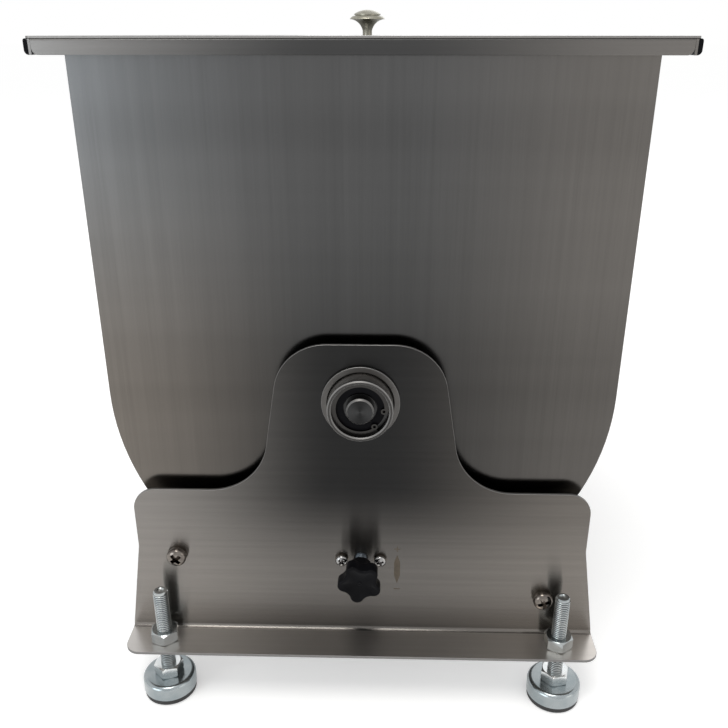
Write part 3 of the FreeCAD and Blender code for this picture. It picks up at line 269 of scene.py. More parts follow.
def brushed_group():
    """Fine drawn lines, painted reflection bands and faint clouds, with a colour for each part of the mixer,
    high and low, that paints reflection and shade.
    """
    colours = tuple(("%s %s" % (level, column), "Color", (0.2, 0.2, 0.2, 1))
                    for level in LEVELS for column in COLUMNS)
    group, given, place, result = new_group("Brushed lines with painted reflections", colours + (
        ("Lines", "Vector", (20.0, 900.0, 900.0)), ("Half width", "Float", 0.16), ("Low level", "Float", 0.1),
        ("High level", "Float", 0.4), ("Contrast", "Float", 0.3), ("Band depth", "Float", 0.0),
        ("Roughness", "Float", 0.3), ("Line depth", "Float", 0.02 * MM)))
    lines = vector_node(group, "MULTIPLY", place, given["Lines"])
    fine = noise(group, lines, 1.0, 4.0, 0.7)
    streaks = noise(group, lines, 0.17, 2.0)
    clouds = noise(group, place, 7.0, 2.0)
    # Bands across the lines: painted reflection of broad smears.
    reflection_bands = noise(group, vector_node(group, "MULTIPLY", place, (1.2, 1.2, 30.0)), 1.0, 2.0)
    both = math_node(group, "ADD", math_node(group, "MULTIPLY", fine, FINE_SHARE),
                     math_node(group, "MULTIPLY", streaks, 1 - FINE_SHARE))
    marks = math_node(group, "ADD", sway(group, both, given["Contrast"]),
                      sway(group, reflection_bands, given["Band depth"]))
    level = math_node(group, "ADD", marks, spread(group, clouds, 0.94, 1.06))
    split = parts_of(group, place)
    height = math_node(group, "DIVIDE", math_node(group, "SUBTRACT", split["Z"], given["Low level"]),
                       math_node(group, "SUBTRACT", given["High level"], given["Low level"]))
    rise = spread(group, height, 0.0, 1.0)
    across = math_node(group, "DIVIDE", split["X"], given["Half width"])
    # Painted reflection and shade: the colour changes from low to high and from the middle to each side.
    painted_shade_colour = blend(group, rise, given["Lower middle"], given["Upper middle"])
    for column, side in (("left", -1), ("right", 1)):
        own = blend(group, rise, given["Lower " + column], given["Upper " + column])
        painted_shade_colour = blend(group, spread(group, across, 0.0, 1.0, 0.1 * side, side), painted_shade_colour, own)
    group.links.new(tint(group, painted_shade_colour, level), result["Colour"])
    gloss = math_node(group, "ADD", given["Roughness"], sway(group, clouds, 0.1))
    group.links.new(gloss, result["Roughness"])
    group.links.new(relief(group, both, 0.35, given["Line depth"]), result["Normal"])
    return group


def turned_group():
    """Rings left by a lathe round an axis that runs along Y, faint handling marks, and a painted reflection,
    lighter to the left and right of the axis and darker above and below it.
    """
    group, given, place, result = new_group("Turned rings and painted reflection", (
        ("Centre", "Vector", (0, 0, 0)), ("Rings", "Float", 4000.0), ("Colour", "Color", (0.3, 0.3, 0.3, 1)),
        ("Contrast", "Float", 0.2), ("Roughness", "Float", 0.25), ("Painted cross", "Float", 0.0)))
    split = parts_of(group, vector_node(group, "SUBTRACT", place, given["Centre"]))
    square = math_node(group, "ADD", math_node(group, "MULTIPLY", split["X"], split["X"]),
                       math_node(group, "MULTIPLY", split["Z"], split["Z"]))
    radius = math_node(group, "SQRT", square)
    joined = group.nodes.new("ShaderNodeCombineXYZ")
    group.links.new(math_node(group, "MULTIPLY", radius, given["Rings"]), joined.inputs["X"])
    group.links.new(math_node(group, "MULTIPLY", split["Y"], given["Rings"]), joined.inputs["Y"])
    rings = noise(group, joined.outputs[0], 1.0, 2.0)
    marks = noise(group, place, 120.0, 3.0, 0.6)
    level = math_node(group, "ADD", sway(group, rings, given["Contrast"]), spread(group, marks, 0.9, 1.1))
    # Painted reflection: lighter to the left and right of the axis, darker above and below it, as much as the
    # given share asks.
    turn = math_node(group, "ARCTAN2", split["Z"], split["X"])
    painted_cross_light = math_node(group, "COSINE", math_node(group, "MULTIPLY", turn, 2.0))
    level = math_node(group, "ADD", level, math_node(group, "MULTIPLY", painted_cross_light, given["Painted cross"]))
    group.links.new(tint(group, given["Colour"], level), result["Colour"])
    gloss = math_node(group, "ADD", given["Roughness"], sway(group, marks, 0.06))
    group.links.new(gloss, result["Roughness"])
    group.links.new(relief(group, rings, 0.2, 0.03 * MM), result["Normal"])
    return group


def mottled_group():
    """Cloudy variation of colour and gloss with a fine grain, for zinc, rubber and plastic."""
    group, given, place, result = new_group("Mottled skin", (
        ("Colour", "Color", (0.3, 0.3, 0.3, 1)), ("Second colour", "Color", (0.3, 0.3, 0.3, 1)),
        ("Cloud size", "Float", 60.0), ("Grain size", "Float", 900.0), ("Roughness", "Float", 0.3),
        ("Gloss change", "Float", 0.2), ("Grain depth", "Float", 0.02 * MM)))
    clouds = noise(group, place, given["Cloud size"], 4.0)
    grain = noise(group, place, given["Grain size"], 2.0)
    patches = spread(group, clouds, 0.0, 1.0, 0.3, 0.7)
    group.links.new(blend(group, patches, given["Colour"], given["Second colour"]), result["Colour"])
    gloss = math_node(group, "ADD", given["Roughness"], sway(group, clouds, given["Gloss change"]))
    group.links.new(gloss, result["Roughness"])
    group.links.new(relief(group, grain, 0.3, given["Grain depth"]), result["Normal"])
    return group


BRUSHED = brushed_group()
TURNED = turned_group()
MOTTLED = mottled_group()


def grey(level, blue=0.0):
    """Linear grey with a cool or warm cast."""
    return (level * (1 - blue), level, level * (1 + blue), 1)


def finish(name, group, metallic, values, anisotropic=0.0, tangent=None, **sockets):
    """Material with one surface group feeding a Principled shader; the rest is set on its sockets."""
    material = bpy.data.materials.new(name)
    material.use_nodes = True
    tree = material.node_tree
    shader = tree.nodes["Principled BSDF"]
    surface = tree.nodes.new("ShaderNodeGroup")
    surface.node_tree = group
    for key, value in values.items():
        surface.inputs[key].default_value = value
    for label, socket in (("Colour", "Base Color"), ("Roughness", "Roughness"), ("Normal", "Normal")):
        tree.links.new(surface.outputs[label], shader.inputs[socket])
    shader.inputs["Metallic"].default_value = metallic
    shader.inputs["Anisotropic"].default_value = anisotropic
    for key, value in sockets.items():
        shader.inputs[key.replace("_", " ")].default_value = value
    if tangent:
        direction = tree.nodes.new("ShaderNodeTangent")
        direction.direction_type = "RADIAL"
        direction.axis = tangent
        tree.links.new(direction.outputs[0], shader.inputs["Tangent"])
    return material


# Grain per metre along X, Y and Z, of lines drawn across, upright and along the mixer
ACROSS = (14.0, 1500.0, 1500.0)
UPRIGHT = (1500.0, 1500.0, 14.0)
ALONG = (1500.0, 14.0, 1500.0)


def brushed(name, lines, lower, upper=None, anisotropic=0.0, tangent=None, **values):
    """Brushed finish: lower and upper hold a colour each, or three for the middle, the left and the right;
    where these colours differ they are painted reflection and shade.
    """
    given = {"Lines": lines}
    for level, colours in zip(LEVELS, (lower, upper or lower)):
        for index, column in enumerate(COLUMNS):
            given["%s %s" % (level, column)] = colours[index] if len(colours) == 3 else colours
    given.update((key.replace("_", " "), value) for key, value in values.items())
    return finish(name, BRUSHED, 1.0, given, anisotropic, tangent)


# Painted reflection: the end plate is darker in the middle than at the sides, the left lightest, and much
# darker high in the middle.
PLATE_STEEL = brushed(
    "Plate steel brushed across with painted reflections", ACROSS, (grey(0.12, -0.06), grey(0.21, -0.07), grey(0.17, -0.09)),
    (grey(0.021), grey(0.2, -0.06), grey(0.12, -0.09)), 1.0, "X", Low_level=0.085, High_level=0.16,
    Contrast=0.48, Roughness=0.23)
# Painted reflection: the flange's upper side gets this lighter copy of the plate steel, darker in the middle
# than at the sides.
FLANGE_PAINTED_REFLECTION = brushed(
    "Flange steel brushed across with painted reflections", ACROSS, (grey(0.22, -0.05), grey(0.5, -0.04), grey(0.54, -0.06)), None,
    0.5, "X", Half_width=0.15, Roughness=0.33)
# Painted reflection and shade: the bowl wall is darker in the middle and towards the bottom, lighter on the
# left than the right, with bands across.
WALL_STEEL = brushed(
    "Bowl steel brushed upright with painted reflections", UPRIGHT, (grey(0.032, -0.01), grey(0.125, -0.11), grey(0.089, -0.07)),
    (grey(0.09), grey(0.155, 0.03), grey(0.132, -0.07)), 0.7, "Z", Half_width=0.165, Low_level=0.2,
    High_level=0.42, Contrast=0.4, Band_depth=0.36, Roughness=0.2)
# Painted reflection: the lip's skirt is darker in the middle than at the sides, the left lightest.
LIP_STEEL = brushed(
    "Lip steel brushed across with painted reflections", ACROSS, (grey(0.058), grey(0.21, -0.02), grey(0.16, -0.06)), None, 0.7, "X",
    Half_width=0.172)
# Painted reflection: the lip's rounded edge gets its own darker copy of the lip steel, darkest in the middle.
LIP_ROUND = brushed(
    "Rounded edge of the lip with painted reflections", ACROSS, (grey(0.05), grey(0.15, -0.02), grey(0.12, -0.04)), None,
    Half_width=0.172, Roughness=0.4)
# Painted reflection and shade: the trough is darker low in the middle, with faint bands across.
TROUGH_STEEL = brushed(
    "Bowl steel brushed along with painted reflections", ALONG, (grey(0.1), grey(0.17), grey(0.17)),
    (grey(0.15), grey(0.19), grey(0.18)), 0.5, "Y", Half_width=0.17, Low_level=0.06, High_level=0.35,
    Band_depth=0.15)
INSIDE_STEEL = brushed("Bright inside of the bowl", ALONG, grey(0.45), None, 0.4, "Y", Roughness=0.36)
LID_STEEL = brushed("Lid steel brushed across", ACROSS, grey(0.32), None, 0.5, "X")
LID_EDGE = brushed("Sheared edge of the lid", ACROSS, grey(0.22, -0.03), Roughness=0.45)
PLAIN_STEEL = brushed("Drawn steel bar", ALONG, grey(0.24), Roughness=0.27)
EDGE_STEEL = brushed("Cut edges of the sheet", ALONG, grey(0.2, -0.02), Roughness=0.5)
SHAFT_EDGE = brushed("Chamfers of the shaft", ALONG, grey(0.14, -0.02), Roughness=0.42)
TUBE_STEEL = finish("Turned steel of the tubes", TURNED, 1.0, {
    "Centre": PIVOT, "Colour": grey(0.36, -0.03), "Roughness": 0.26}, 0.4, "Y")
# Painted shade: the tubes' faced ends and bore get this much darker copy of the turned steel.
RIM_PAINTED_SHADE = finish("Faced end and bore of the tubes in painted shade", TURNED, 1.0, {
    "Centre": PIVOT, "Colour": grey(0.05, -0.03), "Roughness": 0.25}, 0.4, "Y")
COLLAR_STEEL = finish("Turned steel of the collars", TURNED, 1.0, {
    "Centre": PIVOT, "Colour": grey(0.085, -0.04), "Roughness": 0.34}, 0.4, "Y")
# Painted reflection on the shaft's faced end: lighter to its left and right, darker above and below.
SHAFT_STEEL = finish("Faced steel of the shaft with painted reflection", TURNED, 1.0, {
    "Centre": PIVOT, "Colour": grey(0.03, 0.01), "Roughness": 0.24, "Contrast": 0.5, "Painted cross": 0.35}, 0.6, "Y")
# Painted shade: bearing races and circlips deep in the tube are made nearly black.
BEARING_STEEL = finish("Bearing steel in painted shade", TURNED, 1.0, {
    "Centre": PIVOT, "Colour": grey(0.035), "Roughness": 0.2, "Contrast": 0.1})
CLIP_STEEL = finish("Spring steel in painted shade", TURNED, 1.0, {
    "Centre": PIVOT, "Colour": grey(0.038, -0.04), "Roughness": 0.25, "Contrast": 0.15})
SCREW_STEEL = finish("Bright screw steel", MOTTLED, 1.0, {
    "Colour": grey(0.36, -0.03), "Second colour": grey(0.28), "Cloud size": 300.0, "Roughness": 0.17,
    "Gloss change": 0.12})
# Painted reflection: the tie-rod screws are darker and browner than the small screws.
ROD_SCREW_STEEL = finish("Screw steel with painted brown reflection", MOTTLED, 1.0, {
    "Colour": (0.2, 0.18, 0.16, 1), "Second colour": (0.12, 0.105, 0.095, 1), "Cloud size": 260.0,
    "Roughness": 0.14, "Gloss change": 0.12})
WASHER_STEEL = finish("Dull washer steel", MOTTLED, 1.0, {
    "Colour": (0.13, 0.115, 0.1, 1), "Second colour": (0.09, 0.08, 0.07, 1), "Cloud size": 300.0,
    "Roughness": 0.3, "Gloss change": 0.12})
ZINC = finish("Blue bright zinc", MOTTLED, 1.0, {
    "Colour": (0.33, 0.36, 0.37, 1), "Second colour": (0.46, 0.48, 0.48, 1), "Cloud size": 90.0,
    "Roughness": 0.17, "Gloss change": 0.16})
NUT_ZINC = finish("Bright zinc of the nuts", MOTTLED, 1.0, {
    "Colour": (0.68, 0.71, 0.72, 1), "Second colour": (0.8, 0.82, 0.82, 1), "Cloud size": 90.0,
    "Roughness": 0.2, "Gloss change": 0.16})
CUP_ZINC = finish("Blue zinc of the cups", MOTTLED, 1.0, {
    "Colour": (0.27, 0.31, 0.325, 1), "Second colour": (0.36, 0.39, 0.4, 1), "Cloud size": 70.0,
    "Roughness": 0.22, "Gloss change": 0.16})
# Painted shade: darker zinc for the thread's root, and for the whole lock stud.
ZINC_IN_SHADE = finish("Zinc in painted shade of the thread's root", MOTTLED, 1.0, {
    "Colour": (0.1, 0.12, 0.14, 1), "Second colour": (0.15, 0.17, 0.19, 1), "Cloud size": 90.0,
    "Roughness": 0.3, "Gloss change": 0.16})
SATIN_STEEL = finish("Satin cast knob steel", MOTTLED, 1.0, {
    "Colour": (0.33, 0.32, 0.27, 1), "Second colour": (0.27, 0.26, 0.21, 1), "Cloud size": 200.0,
    "Roughness": 0.36, "Gloss change": 0.1})
RUBBER = finish("Black sole rubber", MOTTLED, 0.0, {
    "Colour": (0.012, 0.012, 0.013, 1), "Second colour": (0.022, 0.022, 0.022, 1), "Roughness": 0.62})
# The black seal rubber also stands for painted shade in the ends of the lips' hems.
SEAL_AND_HEM_SHADE = finish("Black seal rubber and painted hem shade", MOTTLED, 0.0, {
    "Colour": (0.003, 0.003, 0.004, 1), "Second colour": (0.005, 0.005, 0.006, 1), "Roughness": 0.5},
    Specular_IOR_Level=0.05)
PLASTIC = finish("Black moulded plastic", MOTTLED, 0.0, {
    "Colour": (0.002, 0.002, 0.0025, 1), "Second colour": (0.004, 0.004, 0.005, 1), "Grain size": 1400.0,
    "Roughness": 0.34, "Gloss change": 0.1}, Specular_IOR_Level=0.06)
ETCHED = finish("Brown etched steel", MOTTLED, 0.2, {
    "Colour": (0.085, 0.07, 0.052, 1), "Second colour": (0.11, 0.09, 0.068, 1), "Cloud size": 400.0,
    "Roughness": 0.55}, Specular_IOR_Level=0.3)


# Tools for meshes

def add_object(name, mesh, material=None):
    """Put a mesh in the scene, in one finish where one is given."""
    item = bpy.data.objects.new(name, mesh)
    bpy.context.scene.collection.objects.link(item)
    if material:
        mesh.materials.clear()
        mesh.materials.append(material)
    return item


def from_bmesh(name, shape, material=None, smooth=40):
    """Make an object of a bmesh, with faces outwards and sharp edges above an angle."""
    bmesh.ops.remove_doubles(shape, verts=shape.verts, dist=1e-7)
    bmesh.ops.recalc_face_normals(shape, faces=shape.faces)
    for edge in shape.edges:
        if len(edge.link_faces) == 2:
            edge.smooth = edge.calc_face_angle() < math.radians(smooth)
    for face in shape.faces:
        face.smooth = True
    mesh = bpy.data.meshes.new(name)
    shape.to_mesh(mesh)
    shape.free()
    return add_object(name, mesh, material)


def lathe(profile, sides=TURN_SIDES):
    """Turn points of radius and height about Z; points on the axis close the ends."""
    shape = bmesh.new()
    rings = []
    for radius, height in profile:
        if radius < 1e-9:
            rings.append([shape.verts.new((0, 0, height))])
            continue
        rings.append([shape.verts.new((radius * math.cos(turn), radius * math.sin(turn), height))
                      for turn in (2 * math.pi * step / sides for step in range(sides))])
    for low, high in zip(rings, rings[1:]):
        for step in range(sides):
            after = (step + 1) % sides
            if len(low) == 1:
                shape.faces.new((low[0], high[step], high[after]))
            elif len(high) == 1:
                shape.faces.new((low[step], low[after], high[0]))
            else:
                shape.faces.new((low[step], low[after], high[after], high[step]))
    return shape


def move(item, matrix):
    """Put a finished piece's place into its mesh."""
    item.data.transform(matrix)
    return item


def baked(item, name, material=None):
    """Turn an object with modifiers into a plain mesh."""
    graph = bpy.context.evaluated_depsgraph_get()
    mesh = bpy.data.meshes.new_from_object(item.evaluated_get(graph))
    result = add_object(name, mesh, material)
    bpy.data.objects.remove(item)
    return result


def join(items, name):
    """Make one mesh of several finished pieces, each with its own finish."""
    shape = bmesh.new()
    materials = []
    for item in items:
        done = len(shape.faces)
        shape.from_mesh(item.data)
        own = item.data.materials[0]
        if own not in materials:
            materials.append(own)
        shape.faces.ensure_lookup_table()
        for face in shape.faces[done:]:
            face.material_index = materials.index(own)
    mesh = bpy.data.meshes.new(name)
    shape.to_mesh(mesh)
    shape.free()
    for material in materials:
        mesh.materials.append(material)
    for item in items:
        bpy.data.objects.remove(item)
    return add_object(name, mesh)


def fit(item, body, slot, *nodes):
    """Let a piece ride on a body and stand for the nodes that it details."""
    if nodes:
        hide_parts(*nodes)
    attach(item, body)


# Sheet pieces with their edges broken

MERGE_WITHIN = 0.001 * MM
FLAT_BELOW = math.radians(0.3)
SHARP_ABOVE = math.radians(50)
# Least share of a face's normal along an axis: sloping, facing that way, at an end, level
SLOPING, FACING, ENDWAYS, LEVEL = 0.3, 0.7, 0.9, 0.98
FLANGE_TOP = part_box("foot_weld_nuts")[0][2]
BEND = 4.5 * MM
LIP_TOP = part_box("bowl_trough")[1][2]
BOWL_MIDDLE = middle("bowl_trough").y
BOWL_HALF = 158.5 * MM
LIP_DROP = 8 * MM
LIP_STANDS = 3 * MM
HEM = 3.7 * MM
# Width of the black block of painted shade in a hem's end, where the folded tab begins.
HEM_SHADE_WIDTH = 2.4 * MM
HEM_PROUD = 0.06 * MM
HEM_SUNK = 0.3 * MM
TUBE_BORE = 18.8 * MM
CORNER_STEPS = 6


def edged(name, node, body, width, finishes, pick=None, rim=-1):
    """Copy of a node with its sharp edges chamfered.

    pick gives the number of a face's finish, and rim is the number of the chamfers' one.
    """
    source = NODES[node]
    shape = bmesh.new()
    shape.from_mesh(source.data)
    shape.transform(source.matrix_world)
    bmesh.ops.remove_doubles(shape, verts=shape.verts, dist=MERGE_WITHIN)
    bmesh.ops.dissolve_limit(shape, angle_limit=FLAT_BELOW, verts=shape.verts, edges=shape.edges)
    shape.normal_update()
    for face in shape.faces:
        face.material_index = int(pick(face)) if pick else 0
    sharp = [edge for edge in shape.edges
             if len(edge.link_faces) == 2 and edge.calc_face_angle() > SHARP_ABOVE]
    bmesh.ops.bevel(shape, geom=sharp, offset=width, offset_type="OFFSET", segments=1, profile=0.5,
                    affect="EDGES", clamp_overlap=True, material=rim)
    piece = from_bmesh(name, shape, None, 30)
    for material in finishes:
        piece.data.materials.append(material)
    fit(piece, body, "stainless", node)


def plate_face(face):
    """1 for faces across an end plate's thickness, 2 for its flange's upper side, which takes a lighter copy
    of the plate steel as painted reflection, 0 for the rest.
    """
    centre, normal = face.calc_center_median(), face.normal
    if centre.z > FLANGE_TOP + BEND:
        return abs(normal.y) < FACING
    outside = centre.y < PLATE_FACE - BEND or centre.y > REAR_FACE + BEND
    if outside and normal.z > FACING:
        return 2
    return abs(normal.z) < FACING and (outside or abs(normal.x) > FACING)


def bowl_face(face):
    """1 for the lip's rounded edge, 2 for its skirt, 3 for the bowl's inside and the lip's top, else 0."""
    centre, normal = face.calc_center_median(), face.normal
    if centre.z > LIP_TOP - LIP_DROP + 0.1 * MM:
        if normal.z > SLOPING:
            return 3 if normal.z > LEVEL else 1
        if centre.y < PLATE_FACE - LIP_STANDS or centre.y > REAR_FACE + LIP_STANDS:
            return 2
    if abs(centre.x) > BOWL_HALF:
        return 0
    if abs(normal.y) > FACING:
        return 3 if normal.y * (BOWL_MIDDLE - centre.y) > 0 else 0
    return 3 if normal.x * centre.x + normal.z * min(centre.z - PIVOT.z, 0) < 0 else 0


def lid_rim(face):
    """1 for the lid's edge, 0 for its two sides."""
    return abs(face.normal.z) < FACING


def turned_chamfer(face):
    """1 for a chamfer round a turned piece, 0 for the rest."""
    return SLOPING < abs(face.normal.y) < ENDWAYS


def tube_mouth(face):
    """2 for the chamfers of a pivot tube, 1 for its faced ends and its bore, which take a darker copy of the
    turned steel as painted shade, 0 for its outside.
    """
    if turned_chamfer(face):
        return 2
    centre = face.calc_center_median()
    out = math.hypot(centre.x - PIVOT.x, centre.z - PIVOT.z)
    return abs(face.normal.y) > ENDWAYS or out < TUBE_BORE


def sheet_pieces():
    """Sheet and turned pieces with their edges broken, so that a thin line of light runs along them."""
    for end in ("front", "rear"):
        edged(end + "_plate_edged", end + "_end_plate", "frame", 0.3 * MM,
              (PLATE_STEEL, EDGE_STEEL, FLANGE_PAINTED_REFLECTION), plate_face, 1)
        edged(end + "_wall_edged", "bowl_%s_wall" % end, "bowl", 0.2 * MM,
              (WALL_STEEL, LIP_ROUND, LIP_STEEL, INSIDE_STEEL), bowl_face)
        edged(end + "_collar_edged", end + "_pivot_collar", "frame", 0.25 * MM,
              (COLLAR_STEEL, EDGE_STEEL), None, 1)
        edged(end + "_tube_edged", end + "_trunnion", "bowl", 0.1 * MM, (TUBE_STEEL, RIM_PAINTED_SHADE, EDGE_STEEL),
              tube_mouth)
    edged("trough_edged", "bowl_trough", "bowl", 0.2 * MM, (TROUGH_STEEL, LIP_ROUND, LIP_STEEL, INSIDE_STEEL),
          bowl_face)
    edged("lid_panel_edged", "lid_panel", "lid", 0.15 * MM, (LID_STEEL, LID_EDGE), lid_rim, 1)
    edged("lock_block_edged", "lock_block", "frame", 0.3 * MM, (PLAIN_STEEL,))
    edged("crank_arm_edged", "crank_arm", "agitator", 0.5 * MM, (PLAIN_STEEL,))
    edged("shaft_edged", "agitator_shaft", "agitator", 0.1 * MM, (SHAFT_STEEL, SHAFT_EDGE), turned_chamfer)


def corner_arc(centre_across, centre_up, radius, start):
    """Quarter of a circle in steps, anticlockwise from a starting angle in degrees."""
    turns = [math.radians(start + 90 * step / CORNER_STEPS) for step in range(CORNER_STEPS + 1)]
    return [(centre_across + radius * math.cos(turn), centre_up + radius * math.sin(turn)) for turn in turns]


def end_blocks(outline, material, name):
    """Thin blocks of one outline, a hair proud of both ends of both long lips."""
    low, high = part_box("bowl_trough")
    shape = bmesh.new()
    count = len(outline)
    for end, outwards in ((low[1], -1), (high[1], 1)):
        for side in (-1, 1):
            rings = [[shape.verts.new((side * (high[0] - inwards), end + outwards * depth, LIP_TOP - drop))
                      for inwards, drop in outline] for depth in (HEM_PROUD, -HEM_SUNK)]
            for step in range(count):
                after = (step + 1) % count
                shape.faces.new((rings[0][step], rings[0][after], rings[1][after], rings[1][step]))
            for ring in rings:
                shape.faces.new(ring)
    return from_bmesh(name, shape, material, 40)


def hem_shade_and_tabs():
    """Black blocks of painted shade and folded tabs in the ends of the long lips; places are from the lip's
    edge.
    """
    foot, head = 2.4 * MM, 1.2 * MM
    # Painted shade: a black block fills the hem's end, where there is only shade.
    painted_shade_outline = [(HEM_SHADE_WIDTH, 0), (HEM_SHADE_WIDTH, LIP_DROP)]
    painted_shade_outline += corner_arc(foot, LIP_DROP - foot, foot, 90)
    painted_shade_outline += corner_arc(head, head, head, 180)
    tab = [(HEM, 0.2 * MM), (HEM, LIP_DROP), (HEM_SHADE_WIDTH, LIP_DROP), (HEM_SHADE_WIDTH, 0.2 * MM)]
    fills = join([end_blocks(painted_shade_outline, SEAL_AND_HEM_SHADE, "fills"), end_blocks(tab, LIP_STEEL, "tabs")], "hem_ends")
    fit(fills, "bowl", "stainless")


def arc_between(start, end, radius, side, steps=10):
    """Points of an arc between two points of a profile; side is 1 for a hollow and -1 for a bulge."""
    (x0, y0), (x1, y1) = start, end
    chord = math.hypot(x1 - x0, y1 - y0)
    off = math.sqrt(radius ** 2 - chord ** 2 / 4) * side / chord
    centre = ((x0 + x1) / 2 + (y1 - y0) * off, (y0 + y1) / 2 - (x1 - x0) * off)
    first = math.atan2(y0 - centre[1], x0 - centre[0])
    sweep = math.atan2(y1 - centre[1], x1 - centre[0]) - first
    sweep = (sweep + math.pi) % (2 * math.pi) - math.pi
    return [(centre[0] + radius * math.cos(first + sweep * step / steps),
             centre[1] + radius * math.sin(first + sweep * step / steps)) for step in range(steps + 1)]


def lid_knob():
    """Turned knob of the lid: stem, hollow flare, sharp brim and a cap with a groove round it."""
    stem, brim, brim_up, cap, cap_up, top = 3.3, 12.3, 10.5, 9.4, 13.3, 16.6
    groove, groove_up, rim = 8.6, 12.7, 0.5
    collar_up, flare, swell = 3.0, 9.6, 5.0
    rise = top - cap_up - rim
    dome = (rise ** 2 + cap ** 2) / (2 * rise)
    profile = [(0, 0), (stem, 0)] + arc_between((stem, collar_up), (brim, brim_up), flare, 1)
    profile += arc_between((brim, brim_up + 0.15), (cap + 0.2, groove_up), swell, -1, 6)
    profile += [(groove, groove_up), (groove, cap_up), (cap, cap_up)]
    profile += arc_between((cap, cap_up + rim), (0, top), dome, -1)
    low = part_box("lid_knob")[0][2]
    centre = middle("lid_knob")
    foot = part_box("lid_panel")[1][2]
    knob = from_bmesh("lid_turned_knob", lathe([(out * MM, up * MM) for out, up in profile]), SATIN_STEEL, 30)
    move(knob, Matrix.Translation((centre.x, centre.y, max(low, foot))))
    fit(knob, "lid", "stainless", "lid_knob")


# Threads

def finish_tree(tree, geometry, material):
    """Make a tree's result real, give it its finish and put it out."""
    real = tree.nodes.new("GeometryNodeRealizeInstances")
    tree.links.new(geometry, real.inputs[0])
    coat = tree.nodes.new("GeometryNodeSetMaterial")
    tree.links.new(real.outputs[0], coat.inputs["Geometry"])
    tree.links.new(material, coat.inputs["Material"])
    end = tree.nodes.new("NodeGroupOutput")
    tree.links.new(coat.outputs[0], end.inputs[0])
    return tree


def thread_tree():
    """Ridge that winds up a rod: a diamond section carried along a helix."""
    tree = bpy.data.node_groups.new("Screw thread", "GeometryNodeTree")
    tree.interface.new_socket("Geometry", in_out="OUTPUT", socket_type="NodeSocketGeometry")
    for label in ("Ridge radius", "Turns", "Height", "Depth", "Half width"):
        tree.interface.new_socket(label, in_out="INPUT", socket_type="NodeSocketFloat")
    tree.interface.new_socket("Finish", in_out="INPUT", socket_type="NodeSocketMaterial")
    given = tree.nodes.new("NodeGroupInput").outputs
    helix = tree.nodes.new("GeometryNodeCurveSpiral")
    helix.inputs["Resolution"].default_value = 32
    for target, name in (("Rotations", "Turns"), ("Start Radius", "Ridge radius"),
                         ("End Radius", "Ridge radius"), ("Height", "Height")):
        tree.links.new(given[name], helix.inputs[target])
    upright = tree.nodes.new("GeometryNodeSetCurveNormal")
    upright.mode = "Z_UP"
    tree.links.new(helix.outputs[0], upright.inputs["Curve"])
    diamond = tree.nodes.new("GeometryNodeCurvePrimitiveCircle")
    diamond.inputs["Resolution"].default_value = 4
    diamond.inputs["Radius"].default_value = 1.0
    scale = tree.nodes.new("ShaderNodeCombineXYZ")
    tree.links.new(given["Depth"], scale.inputs["X"])
    tree.links.new(given["Half width"], scale.inputs["Y"])
    section = tree.nodes.new("GeometryNodeTransform")
    tree.links.new(diamond.outputs[0], section.inputs["Geometry"])
    tree.links.new(scale.outputs[0], section.inputs["Scale"])
    sweep = tree.nodes.new("GeometryNodeCurveToMesh")
    sweep.inputs["Fill Caps"].default_value = True
    tree.links.new(upright.outputs[0], sweep.inputs["Curve"])
    tree.links.new(section.outputs[0], sweep.inputs["Profile Curve"])
    return finish_tree(tree, sweep.outputs[0], given["Finish"])


THREAD = thread_tree()
# Shares of the pitch
THREAD_DEPTH = 0.54
THREAD_HALF = 0.44


def set_inputs(modifier, values):
    """Give a modifier's inputs their values by the sockets' identifiers."""
    for socket in modifier.node_group.interface.items_tree:
        if socket.item_type == "SOCKET" and socket.in_out == "INPUT" and socket.name in values:
            modifier[socket.identifier] = values[socket.name]


def thread(radius, pitch, length, material):
    """Ridge of a metric thread from height 0 to length."""
    depth = THREAD_DEPTH * pitch
    item = add_object("thread", bpy.data.meshes.new("thread"), material)
    modifier = item.modifiers.new("Thread", "NODES")
    modifier.node_group = THREAD
    set_inputs(modifier, {"Ridge radius": radius - depth / 2, "Turns": length / pitch, "Height": length,
                          "Depth": depth / 2, "Half width": THREAD_HALF * pitch, "Finish": material})
    return baked(item, "ridge", material)


STUD_PITCH = 1.5 * MM
LOCK_PITCH = 1.25 * MM
STUD_RADIUS = 5 * MM
STUD_FOOT = 11 * MM
STUD_TIP = 2 * MM
IN_NUT = 6 * MM


def foot_studs():
    """Threaded studs with a wide foot in the cup and a rounded, hollow top."""
    root = STUD_RADIUS - THREAD_DEPTH * STUD_PITCH
    for foot in FEET:
        node = foot + "_stud"
        low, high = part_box(node)
        bottom, top = low[2], high[2]
        centre = middle(node)
        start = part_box(foot + "_nut")[1][2] - IN_NUT
        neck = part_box(foot + "_cup")[1][2] - 1.5 * MM
        crest = top - STUD_TIP
        profile = [(0, bottom), (STUD_FOOT, bottom), (STUD_FOOT, neck), (root, neck), (root, crest),
                   (0, crest)]
        # The core between the ridges is in the darker zinc: painted shade in the thread's root.
        core = from_bmesh("core", lathe(profile, 32), ZINC_IN_SHADE, 50)
        wide = root + 0.3 * MM
        tip = [(0, crest), (root, crest), (wide, crest + 0.3 * MM), (wide, top - 0.7 * MM),
               (root - 0.3 * MM, top), (2.6 * MM, top), (2.3 * MM, top - 0.2 * MM), (0, top - 1.3 * MM)]
        end = from_bmesh("end", lathe(tip, 32), ZINC, 30)
        ridge = thread(STUD_RADIUS, STUD_PITCH, top - 1.6 * MM - start, ZINC)
        move(ridge, Matrix.Translation((0, 0, start)))
        stud = join([core, end, ridge], foot + "_threaded_stud")
        move(stud, Matrix.Translation((centre.x, centre.y, 0)))
        fit(stud, foot, "bright_zinc", node)


# Screws with a cross recess

